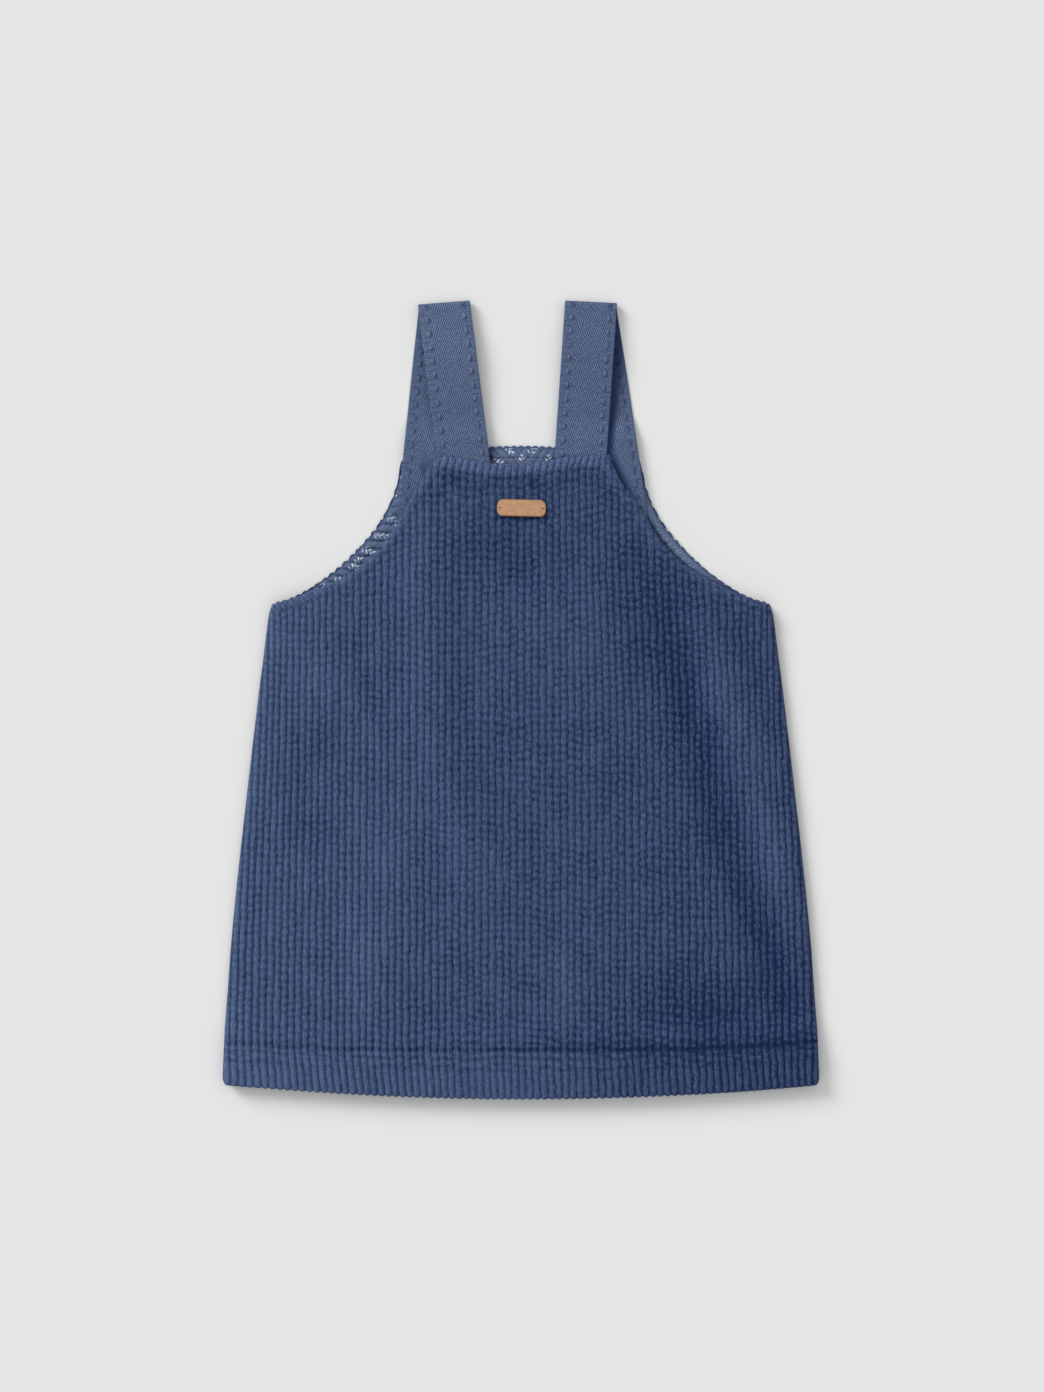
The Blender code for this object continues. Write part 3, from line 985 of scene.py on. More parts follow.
@cache
def leaf_group() -> Tree:
    """One small pointed leaf of the print.

    Returns:
        The shader node group, whose mask is 1 inside the leaf.
    """
    nowhere = (0.0, 0.0, 0.0)
    inputs = {"Place": nowhere, "Foot": nowhere, "Angle": 0.0, "Length": 2.4, "Half Width": 0.45}
    nodes = Group("printed leaf", "ShaderNodeTree", inputs, {"Mask": 0.0})
    given = nodes.given
    offset = nodes.add("ShaderNodeVectorMath", {"operation": "SUBTRACT"}, Vector=given["Place"])
    nodes.feed(offset.inputs[1], given["Foot"])
    x, y, _ = nodes.parts(nodes.turned(offset.outputs[0], nodes.times(given["Angle"], -1.0)))
    along = nodes.over(x, given["Length"])
    belly = nodes.times(along, nodes.minus(1.0, along), 4.0)
    width = nodes.times(nodes.math("MAXIMUM", belly, 0.0), given["Half Width"])
    inside = nodes.minus(width, nodes.math("ABSOLUTE", y))
    return nodes.give(Mask=nodes.ramp(inside, 0.0, 0.12))


# --- finishes ---


@dataclass(frozen=True)
class CorduroyFinish:
    """Cotton corduroy with a soft, crushed pile on its wales.

    All its unevenness adds up to one lightness, which runs from a deep blue to a dusty one. Much of it
    is painted light and shade: shade in the valleys, which is partly the pile's own deeper colour,
    painted shade in the gaps between beads and their corners, painted highlights on the beads' crowns
    and along each wale's left side, and the painted light and shade that the panels' tone carries.
    """

    deep: Colour = (0.0125, 0.0275, 0.0840)
    dusty: Colour = (0.0525, 0.0830, 0.1735)
    valley_width: float = 2.3
    valley_gap: float = 1.1
    # The valleys' darkness is partly the pile's own colour and partly painted shade; the gaps' and
    # corners' darkness is painted shade, and the crowns' and the lit side's lightness is painted
    # highlight.
    valley_pile_and_shade: float = 0.92
    gap_shade: float = 0.10
    corner_shade: float = 0.34
    crown_narrow: float = 1.6
    crown_highlight: float = 0.42
    lit_place: float = 0.22
    lit_width: float = 0.085
    lit_length: float = 13.0
    lit_share: float = 0.42
    fleck_size: float = 1.05
    fleck_share: float = 1.15
    fleck_deep: float = 0.6
    fuzz_share: float = 0.4
    streak_across: float = 5.5
    streak_along: float = 0.22
    streak_share: float = 0.55
    border_light: float = 0.20
    border_narrow: float = 0.9
    darkest: float = -0.2

    def _lit_side(self, nodes: Nodes, wale: Feed, rise: Feed) -> Socket:
        """Draws the broken, lit line along the left side of each wale.

        Args:
            nodes: What adds the nodes.
            wale: The place across the cloth, in wales.
            rise: The height up the cloth.

        Returns:
            How lit each place is, from 0 to 1.
        """
        aside = nodes.minus(nodes.math("FRACT", wale), self.lit_place)
        cell = nodes.times(nodes.math("FLOOR", wale), 1.37)
        broken = nodes.noise(nodes.vector(cell, nodes.over(rise, self.lit_length), 5.3))
        broken = nodes.ramp(broken, 0.46, 0.62)
        return nodes.times(nodes.bell(nodes.over(aside, self.lit_width)), broken)

    def material(self) -> Material:
        """Builds the material.

        Returns:
            The material, which reads the values that a panel's points carry.
        """
        nodes = Surface(
            "corduroy",
            Roughness=0.95,
            Specular_IOR_Level=0.15,
            Sheen_Weight=0.08,
            Sheen_Roughness=0.5,
            Sheen_Tint=(0.72, 0.80, 1.0, 1.0),
        )
        keys = ("wale", "rise", "crushed", "relief", "border", "tone")
        wale, rise, crushed, relief, border, tone = (nodes.attribute(key) for key in keys)
        pile = nodes.group(pile_group("ShaderNodeTree"), Wale=wale, Rise=rise, Crushed=crushed)
        side, gap = pile["Side"], pile["Gap"]
        squared = nodes.times(side, side)
        grain = nodes.group(fibre_group(), Stretch=0.8, Fleck_Size=self.fleck_size)
        fleck = nodes.minus(grain["Fleck"], 0.5)
        fleck = nodes.times(fleck, nodes.line(squared, -self.fleck_deep, 1.0))
        along = nodes.times(rise, self.streak_along)
        strand = nodes.vector(nodes.times(wale, self.streak_across), along)
        streak = nodes.times(nodes.minus(nodes.noise(strand), 0.5), 2.5)
        power = nodes.line(gap, -self.valley_gap, self.valley_width)
        power = nodes.line(border, self.border_narrow, power)
        crown = nodes.math("MAXIMUM", nodes.line(squared, -self.crown_narrow, 1.0), 0.0)
        # Painted shade in the valleys, the gaps and their corners, and painted highlights on the crowns
        # and the wales' left sides.
        light = nodes.layers(
            nodes.plus(tone, 1.0),
            (nodes.times(nodes.math("POWER", side, power), relief), -self.valley_pile_and_shade),
            (gap, -self.gap_shade),
            (nodes.times(gap, squared), -self.corner_shade),
            (nodes.times(crown, nodes.minus(0.5, gap)), self.crown_highlight),
            (nodes.times(self._lit_side(nodes, wale, rise), relief), self.lit_share),
            (border, self.border_light),
            (nodes.times(fleck, border), self.fuzz_share),
            (fleck, self.fleck_share),
            (streak, self.streak_share),
        )
        colour = nodes.mix(nodes.math("MAXIMUM", light, self.darkest), self.deep, self.dusty)
        return nodes.finish(colour, nodes.line(streak, 0.15, grain["Height"]), 0.8, 0.6)


class Leaf(NamedTuple):
    """A leaf of the printed sprig: its foot, where it points, and its size."""

    x: float
    y: float
    angle: float
    length: float
    half_width: float


# The bent stem, then the leaves on both sides of it
SPRIG = [
    Leaf(-5.4, -2.0, 0.32, 10.8, 0.20),
    Leaf(-4.3, -1.6, 1.35, 3.0, 0.46),
    Leaf(-3.2, -1.3, -0.70, 2.8, 0.42),
    Leaf(-2.0, -0.9, 1.20, 3.3, 0.48),
    Leaf(-0.8, -0.6, -0.60, 3.0, 0.44),
    Leaf(0.4, -0.2, 1.10, 3.1, 0.48),
    Leaf(1.7, 0.2, -0.45, 2.8, 0.44),
    Leaf(2.8, 0.5, 0.98, 2.8, 0.46),
    Leaf(4.1, 0.9, -0.15, 2.4, 0.42),
]


@dataclass(frozen=True)
class CottonFinish:
    """Plain-weave cotton with small pale sprigs, drawn towards a deep blue where its points carry
    painted shade.
    """

    ground: Colour = (0.104, 0.146, 0.248)
    print_colour: Colour = (0.60, 0.68, 0.79)
    shade: Colour = (0.016, 0.034, 0.096)
    tile_width: float = 15.0
    tile_height: float = 8.6
    turn: float = 2.6
    weave: float = 0.55

    def _sprigs(self, nodes: Nodes, x: Feed, y: Feed, wear: Feed) -> Socket:
        """Scatters sprigs, one in each tile of a half-drop repeat, each turned by chance.

        Args:
            nodes: What adds the nodes.
            x: The place across the cloth.
            y: The place up the cloth.
            wear: How well the ink has held.

        Returns:
            How strongly the print shows.
        """
        row = nodes.over(y, self.tile_height)
        drop = nodes.times(nodes.math("FLOOR", row), 0.5)
        column = nodes.plus(nodes.over(x, self.tile_width), drop)
        cell = nodes.vector(nodes.math("FLOOR", column), nodes.math("FLOOR", row))
        chance = nodes.add("ShaderNodeTexWhiteNoise", {"noise_dimensions": "2D"}, Vector=cell).outputs
        local = nodes.vector(
            nodes.times(nodes.minus(nodes.math("FRACT", column), 0.5), self.tile_width),
            nodes.times(nodes.minus(nodes.math("FRACT", row), 0.5), self.tile_height),
        )
        local = nodes.turned(local, nodes.times(nodes.minus(chance["Value"], 0.5), self.turn))
        mask: Feed = 0.0
        for leaf in SPRIG:
            feeds = {"Angle": leaf.angle, "Length": leaf.length, "Half_Width": leaf.half_width}
            drawn = nodes.group(leaf_group(), Place=local, Foot=(leaf.x, leaf.y, 0.0), **feeds)
            mask = nodes.math("MAXIMUM", mask, drawn["Mask"])
        strength = nodes.add("ShaderNodeSeparateColor", Color=chance["Color"]).outputs["Blue"]
        return nodes.times(mask, wear, nodes.line(strength, 0.7, 0.6), nodes.attribute("printed"))

    def material(self) -> Material:
        """Builds the material.

        Returns:
            The material, for a cloth whose map is in millimetres.
        """
        nodes = Surface("printed_cotton", Roughness=0.9, Specular_IOR_Level=0.2)
        x, y, _ = nodes.parts(nodes.on_cloth())
        grain = nodes.group(fibre_group(), Fleck_Size=2.2, Fibre_Size=0.35)
        ink = self._sprigs(nodes, x, y, nodes.line(grain["Fleck"], 1.0, 0.40))
        colour = nodes.mix(nodes.math("MINIMUM", ink, 1.0), self.ground, self.print_colour)
        # Painted shade, from the points' values, draws the colour towards a deep blue.
        colour = nodes.mix(nodes.math("MINIMUM", nodes.attribute("hollow"), 1.0), colour, self.shade)
        colour = nodes.scaled(colour, nodes.line(grain["Fleck"], 0.2, 0.9))
        threads = (nodes.math("SINE", nodes.times(axis, math.tau / self.weave)) for axis in (x, y))
        height = nodes.line(nodes.times(*threads), 0.3, grain["Height"])
        return nodes.finish(colour, height, 0.5, 0.15)


# Where the raised stitches lie along a strap's tape, from its front end
TUFT_FIRST = 9.0
TUFT_PITCH = 8.1


@dataclass(frozen=True)
class TwillFinish:
    """Firm cotton tape: a small diamond weave between two plain, ribbed selvedges, with a painted
    shadow round each raised stitch and painted shade where its points carry it.
    """

    deep: Colour = (0.050, 0.080, 0.160)
    dusty: Colour = (0.112, 0.154, 0.258)
    shade: Colour = (0.0138, 0.0335, 0.105)
    across: float = 1.32
    along: float = 3.1
    selvedge: float = 9.6
    rib: float = 1.5
    wander: float = 0.5
    wander_size: float = 3.2
    weave_share: float = 1.5
    rib_share: float = 0.15
    fleck_share: float = 1.25
    tuft_row: float = 10.9
    # How dark, and how far aside, the painted shadow round each raised stitch lies.
    tuft_shadow_dark: float = 0.8
    tuft_shadow_aside: float = 0.7
    bar_place: float = 2.6
    bar_dark: float = 0.30

    def _sewing(self, nodes: Nodes, across: Feed, along: Feed) -> tuple[Socket, Socket]:
        """Draws what surrounds the raised stitches: a painted shadow and bars.

        Args:
            nodes: What adds the nodes.
            across: The place across the tape, from its middle.
            along: The place along it.

        Returns:
            The painted shadow round each stitch, set off a little from it, and the bars from there to
            the selvedge.
        """
        turn = nodes.over(nodes.minus(along, TUFT_FIRST), TUFT_PITCH)
        turn = nodes.minus(nodes.math("FRACT", nodes.plus(turn, 0.5)), 0.5)
        up = nodes.times(turn, TUFT_PITCH)
        out = nodes.minus(nodes.math("ABSOLUTE", across), self.tuft_row)
        side = nodes.times(nodes.math("SIGN", across), self.tuft_shadow_aside)
        # The ring is a painted shadow, set off a little from the stitch.
        ring = nodes.bell(nodes.over(nodes.plus(up, self.tuft_shadow_aside), 1.7))
        ring = nodes.times(ring, nodes.bell(nodes.over(nodes.minus(out, side), 1.4)))
        bar = nodes.bell(nodes.over(nodes.minus(nodes.math("ABSOLUTE", up), self.bar_place), 0.5))
        return ring, nodes.times(bar, nodes.math("GREATER_THAN", out, -0.4))

    def _weave(self, nodes: Nodes, x: Feed, y: Feed, outside: Feed) -> Socket:
        """Draws the diamonds, and the ribs of the selvedges.

        Args:
            nodes: What adds the nodes.
            x: The place across the tape, from its middle.
            y: The place along it.
            outside: 1 on the selvedges.

        Returns:
            How high the threads lie.
        """
        drift = nodes.noise(nodes.on_cloth(), 1.0 / self.wander_size).node.outputs["Color"]
        drift = nodes.add("ShaderNodeSeparateColor", Color=drift).outputs
        waves = []
        for axis, aside, pitch in ((x, "Red", self.across), (y, "Green", self.along)):
            moved = nodes.line(drift[aside], self.wander * pitch, axis)
            waves.append(nodes.math("COSINE", nodes.times(moved, math.tau / pitch)))
        rib = nodes.times(nodes.math("COSINE", nodes.times(y, math.tau / self.rib)), self.rib_share)
        blend = {"Factor": outside, "A": nodes.times(*waves), "B": rib}
        return nodes.add("ShaderNodeMix", {"data_type": "FLOAT"}, **blend).outputs[0]

    def material(self) -> Material:
        """Builds the material.

        Returns:
            The material, for a tape whose map is in millimetres across and along it.
        """
        nodes = Surface("twill_tape", Roughness=0.9, Specular_IOR_Level=0.2, Sheen_Weight=0.05)
        x, y, _ = nodes.parts(nodes.on_cloth())
        outside = nodes.math("GREATER_THAN", nodes.math("ABSOLUTE", x), self.selvedge)
        ring, bar = self._sewing(nodes, x, y)
        weave = nodes.times(self._weave(nodes, x, y, outside), nodes.minus(1.0, ring))
        grain = nodes.group(fibre_group(), Fleck_Size=0.9, Fibre_Size=0.35)
        # The raised stitches' painted shadows darken the light.
        light = nodes.layers(
            0.5,
            (weave, self.weave_share),
            (nodes.minus(grain["Fleck"], 0.5), self.fleck_share),
            (outside, 0.05),
            (ring, -self.tuft_shadow_dark),
            (bar, -self.bar_dark),
        )
        colour = nodes.mix(nodes.math("MAXIMUM", light, -0.5), self.deep, self.dusty)
        colour = nodes.mix(nodes.attribute("shade"), colour, self.shade)
        return nodes.finish(colour, nodes.line(weave, 0.35, grain["Height"]), 0.7, 0.3)


@dataclass(frozen=True)
class LeatherFinish:
    """Natural tan leather, matt, with burnished edges."""

    colour: Colour = (0.490, 0.272, 0.147)
    dark: Colour = (0.260, 0.125, 0.060)
    pore: float = 0.55

    def material(self) -> Material:
        """Builds the material.

        Returns:
            The material, darker where a point's value says that it is near an edge.
        """
        nodes = Surface("leather", Roughness=0.62, Specular_IOR_Level=0.35)
        grain = nodes.group(fibre_group(), Fleck_Size=2.6, Fibre_Size=0.5)
        pores = nodes.add("ShaderNodeTexVoronoi", Vector=nodes.place(), Scale=1.0 / (self.pore * MM))
        colour = nodes.mix(nodes.times(nodes.attribute("edge"), 0.8), self.colour, self.dark)
        colour = nodes.scaled(colour, nodes.line(grain["Fleck"], 0.3, 0.85))
        height = nodes.line(pores.outputs["Distance"], 0.3, grain["Height"])
        return nodes.finish(colour, height, 0.5, 0.12)


@dataclass(frozen=True)
class ThreadFinish:
    """Sewing thread, of a deeper blue where its points say that it lies in shade."""

    name: str
    colour: Colour
    shade: Colour = (0.0138, 0.0335, 0.105)

    def material(self) -> Material:
        """Builds the material.

        Returns:
            The material.
        """
        nodes = Surface(self.name, Roughness=0.9, Specular_IOR_Level=0.2)
        grain = nodes.group(fibre_group(), Fleck_Size=0.8, Fibre_Size=0.3)
        colour = nodes.mix(nodes.attribute("shade"), self.colour, self.shade)
        colour = nodes.scaled(colour, nodes.line(grain["Fleck"], 0.4, 0.8))
        return nodes.finish(colour, grain["Height"], 0.5, 0.1)


@dataclass(frozen=True)
class FloorFinish:
    """A plain pale surface."""

    colour: Colour = (0.80, 0.80, 0.80)

    def material(self) -> Material:
        """Builds the material.

        Returns:
            The material, almost even.
        """
        nodes = Surface("floor", Roughness=1.0, Specular_IOR_Level=0.0)
        factor = nodes.line(nodes.noise(nodes.place(), 3.0, 2.0), 0.006, 0.997)
        nodes.feed(nodes.shader.inputs["Base Color"], nodes.scaled(self.colour, factor))
        return nodes.material


# --- what repeats: wales and stitches ---


def bake_modifier(item: Item, tree: Tree, inputs: dict[str, Feed]) -> None:
    """Runs a Geometry Nodes tree on an object and keeps the result as its mesh.

    Args:
        item: The object.
        tree: The tree.
        inputs: The tree's inputs, by their names.
    """
    modifier = item.modifiers.new(tree.name, "NODES")
    modifier.node_group = tree
    for socket in tree.interface.items_tree:
        if socket.in_out == "INPUT" and socket.name in inputs:
            modifier[socket.identifier] = inputs[socket.name]
    graph = bpy.context.evaluated_depsgraph_get()
    mesh = bpy.data.meshes.new_from_object(item.evaluated_get(graph), depsgraph=graph)
    item.modifiers.remove(modifier)
    old, item.data = item.data, mesh
    bpy.data.meshes.remove(old)
    mesh.name = item.name


@cache
def wale_tree() -> Tree:
    """Presses the valleys between the wales, and the gaps between their beads, into a cloth.

    Returns:
        The Geometry Nodes tree.
    """
    inputs = {"Geometry": None, "Depth": 1.0 * MM, "Gap Depth": 0.3 * MM, "Material": None}
    nodes = Group("wales", "GeometryNodeTree", inputs, {"Geometry": None})
    read = {}
    for key in ("wale", "rise", "crushed", "relief"):
        node = nodes.add("GeometryNodeInputNamedAttribute", {"data_type": "FLOAT"}, Name=key)
        read[key] = node.outputs["Attribute"]
    places = {"Wale": read["wale"], "Rise": read["rise"], "Crushed": read["crushed"]}
    pile = nodes.group(pile_group("GeometryNodeTree"), **places)
    drop = nodes.times(pile["Valley"], nodes.given["Depth"])
    drop = nodes.line(pile["Gap"], nodes.given["Gap Depth"], drop)
    down = nodes.vector(0.0, 0.0, nodes.times(drop, read["relief"], -1.0))
    pressed = nodes.add("GeometryNodeSetPosition", Geometry=nodes.given["Geometry"], Offset=down)
    return nodes.dress(pressed.outputs[0])


@cache
def stitch_tree() -> Tree:
    """Lays stitches along lines, as beads that are a little uneven.

    Returns:
        The Geometry Nodes tree.
    """
    inputs = {
        "Geometry": None,
        "Spacing": 3.0 * MM,
        "Length": 2.4 * MM,
        "Width": 0.5 * MM,
        "Height": 0.4 * MM,
        "Uneven": 0.1,
        "Seed": 1,
        "Material": None,
    }
    nodes = Group("stitches", "GeometryNodeTree", inputs, {"Geometry": None})
    given = nodes.given
    curve = nodes.add("GeometryNodeMeshToCurve", Mesh=given["Geometry"]).outputs[0]
    evenly = {"mode": "LENGTH"}
    spaced = nodes.add("GeometryNodeResampleCurve", evenly, Curve=curve, Length=given["Spacing"])
    tangent = nodes.add("GeometryNodeInputTangent").outputs[0]
    turn = nodes.add("FunctionNodeAlignRotationToVector", {"axis": "X"}, Vector=tangent)
    bead = nodes.add("GeometryNodeMeshUVSphere", Segments=8, Rings=6, Radius=0.5)
    chance = nodes.add("FunctionNodeRandomValue", {"data_type": "FLOAT"}, Seed=given["Seed"])
    nodes.feed(chance.inputs[2], nodes.minus(1.0, given["Uneven"]))
    nodes.feed(chance.inputs[3], nodes.plus(1.0, given["Uneven"]))
    size = nodes.vector(given["Length"], given["Width"], given["Height"])
    laid = nodes.add(
        "GeometryNodeInstanceOnPoints",
        Points=spaced.outputs[0],
        Instance=bead.outputs[0],
        Rotation=turn.outputs[0],
        Scale=nodes.scaled(size, chance.outputs[1]),
    )
    return nodes.dress(laid.outputs[0])


@dataclass
class StitchRun:
    """A run of stitches: its paths on the dress and the size of one stitch."""

    name: str
    paths: list[Array]
    spacing: float
    length: float
    width: float
    height: float
    uneven: float = 0.1
    shades: Sequence[float] = ()

    def build(self, dress: "Dress", material: Material, slot: Slot) -> Item:
        """Makes the stitches.

        Args:
            dress: The dress that they lie on.
            material: The thread.
            slot: The record's slot for their finish.

        Returns:
            The piece.
        """
        edges, first = [], 0
        for path in self.paths:
            edges += [(first + k, first + k + 1) for k in range(len(path) - 1)]
            first += len(path)
        mesh = bpy.data.meshes.new(self.name)
        mesh.from_pydata(dress.placing.place(np.vstack(self.paths)).tolist(), edges, [])
        if self.shades:
            shade = np.repeat(self.shades, [len(path) for path in self.paths]).astype(np.float32)
            mesh.attributes.new("shade", "FLOAT", "POINT").data.foreach_set("value", shade)
        item = show(self.name, mesh)
        inputs = {
            "Spacing": self.spacing * MM,
            "Length": self.length * MM,
            "Width": self.width * MM,
            "Height": self.height * MM,
            "Uneven": self.uneven,
            "Seed": len(self.name),
            "Material": material,
        }
        bake_modifier(item, stitch_tree(), inputs)
        dress.ride(item, slot)
        return item


# --- the dress ---


class ShadingPatch(NamedTuple):
    """A soft patch of painted light, or of painted shade if its share is negative."""

    x: float
    y: float
    half_width: float
    half_height: float
    share: float


# Painted light and shade of the soft folds, as patches on the front.
SHADING_PATCHES = [
    ShadingPatch(110.0, 50.0, 40.0, 20.0, -0.19),
    ShadingPatch(150.0, 48.0, 14.0, 20.0, -0.10),
    ShadingPatch(-8.0, 322.0, 32.0, 26.0, -0.13),
    ShadingPatch(-140.0, 276.0, 12.0, 16.0, 0.10),
    ShadingPatch(-20.0, 190.0, 26.0, 34.0, -0.07),
    ShadingPatch(-58.0, 190.0, 16.0, 34.0, 0.05),
    ShadingPatch(18.0, 258.0, 38.0, 28.0, 0.05),
    ShadingPatch(-117.0, 212.0, 13.0, 16.0, -0.18),
    ShadingPatch(-133.0, 160.0, 14.0, 18.0, -0.11),
    ShadingPatch(-122.0, 250.0, 16.0, 24.0, 0.12),
    ShadingPatch(-86.0, 262.0, 12.0, 34.0, 0.07),
    ShadingPatch(-93.0, 70.0, 15.0, 34.0, 0.14),
    ShadingPatch(26.0, 62.0, 9.0, 22.0, 0.11),
    ShadingPatch(-82.0, 150.0, 15.0, 45.0, 0.09),
    ShadingPatch(60.0, 352.0, 14.0, 16.0, -0.08),
]
# Painted shade along the folds' troughs and painted light along their ridges: lines whose height is a
# lightness.
FOLD_SHADING = [
    Fold(56.0, 322.0, 84.0, 236.0, 19.0, -0.24),
    Fold(86.0, 246.0, 124.0, 134.0, 15.0, -0.21),
    Fold(124.0, 138.0, 160.0, 44.0, 13.0, -0.22),
    Fold(112.0, 256.0, 144.0, 190.0, 9.0, 0.20),
    Fold(134.0, 190.0, 157.0, 108.0, 9.0, 0.20),
    Fold(44.0, 312.0, 48.0, 222.0, 12.0, 0.12),
    Fold(-46.0, 345.0, -36.0, 170.0, 11.0, -0.14),
    Fold(-100.0, 276.0, -88.0, 236.0, 9.0, -0.14),
    Fold(-64.0, 328.0, -70.0, 200.0, 8.0, 0.09),
]


@dataclass(frozen=True)
class Pile:
    """How the pile lies: where it sways and where it is crushed; and how light it looks, which is
    random tone with painted light and shade.
    """

    sway: SoftNoise = SoftNoise(14, 5.2, 7.0)
    sway_far: float = 0.34
    sway_right: float = 0.22
    tone_broad: SoftNoise = SoftNoise(15, 34.0, 46.0)
    tone_fine: SoftNoise = SoftNoise(16, 6.0, 13.0)
    broad_share: float = 0.07
    fine_share: float = 0.09
    # The left is painted lighter, and both sides a little lighter than the middle: painted light from
    # the left.
    painted_left_light: float = 0.22
    painted_light_bend: float = 0.07
    reach: float = 130.0
    # How strongly the painted shading patches and the painted fold shading show.
    shading_patch_share: float = 1.5
    fold_lift_shading: float = 0.11

    def sway_at(self, s: Array, y: Array) -> Array:
        """How far the wales sway aside, more on the right."""
        return (self.sway_far + self.sway_right * smoothstep(s, 50.0, 110.0)) * self.sway.at(s, y)

    def tone(self, x: Array, y: Array) -> Array:
        """Adds up random tone and painted light and shade: painted light from the left, the painted
        shading patches and the painted fold shading.

        Args:
            x: The points' x.
            y: The points' y.

        Returns:
            How much lighter than the cloth's own colour each point is.
        """
        across = x / self.reach
        # Painted light from the left, lighter towards both sides.
        tone = self.painted_light_bend * across**2 - self.painted_left_light * across
        tone = tone + self.broad_share * self.tone_broad.at(x, y)
        tone = tone + self.fine_share * self.tone_fine.at(x, y)
        # Painted light and shade of the folds, as patches and along their lines.
        for patch in SHADING_PATCHES:
            spot = bell(x - patch.x, patch.half_width) * bell(y - patch.y, patch.half_height)
            tone = tone + self.shading_patch_share * patch.share * spot
        for stroke in FOLD_SHADING:
            tone = tone + stroke.lift(x, y)
        return tone

    def crushed(self, x: Array, hem: Array) -> Array:
        """How strongly the beads show: less at the sides, and least low in the hem."""
        sides = 0.86 + 0.14 * smoothstep(x, -110.0, -20.0) - 0.18 * smoothstep(x, 85.0, 125.0)
        return sides * (1 - 0.75 * hem)

    def relief(self, x: Array, y: Array) -> Array:
        """How deep the valleys are: deepest on the left and near the hem, least in the middle."""
        sides = 0.26 * smoothstep(-x, 22.0, 72.0) + 0.08 * smoothstep(x, 60.0, 120.0)
        outmost = 0.12 * smoothstep(np.abs(x), 140.0, 165.0)
        return 0.86 + sides + outmost + 0.10 * (1 - smoothstep(y, 50.0, 130.0))


@dataclass
class Dress:
    """What all pieces share: the shape, where it lies, the pile and the finishes."""

    shape: DressShape
    placing: Placing
    pile: Pile
    corduroy: Material
    cotton: Material
    tape: Material
    leather: Material
    thread: Material
    hem_thread: Material
    tufts: Material
    front_edge: EdgeLine
    back_edge: EdgeLine

    def wale(self, s: Array) -> Array:
        """The place across the cloth counted in wales, whose valleys are whole numbers."""
        return s / self.shape.pitch + 0.5 * (self.shape.wales % 2)

    def ride(self, piece: Item, slot: Slot, *nodes: str) -> None:
        """Sets a piece on the dress's one body.

        Args:
            piece: The piece.
            slot: The record's slot for the piece's finish. It is not used.
            *nodes: The solids that it replaces.
        """
        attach(piece, BODY)
        if nodes:
            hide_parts(*nodes)


# How far from a line's ends its closest rows lie
CLOSE_ROWS = np.array([0.0, 0.25, 0.7, 1.4])


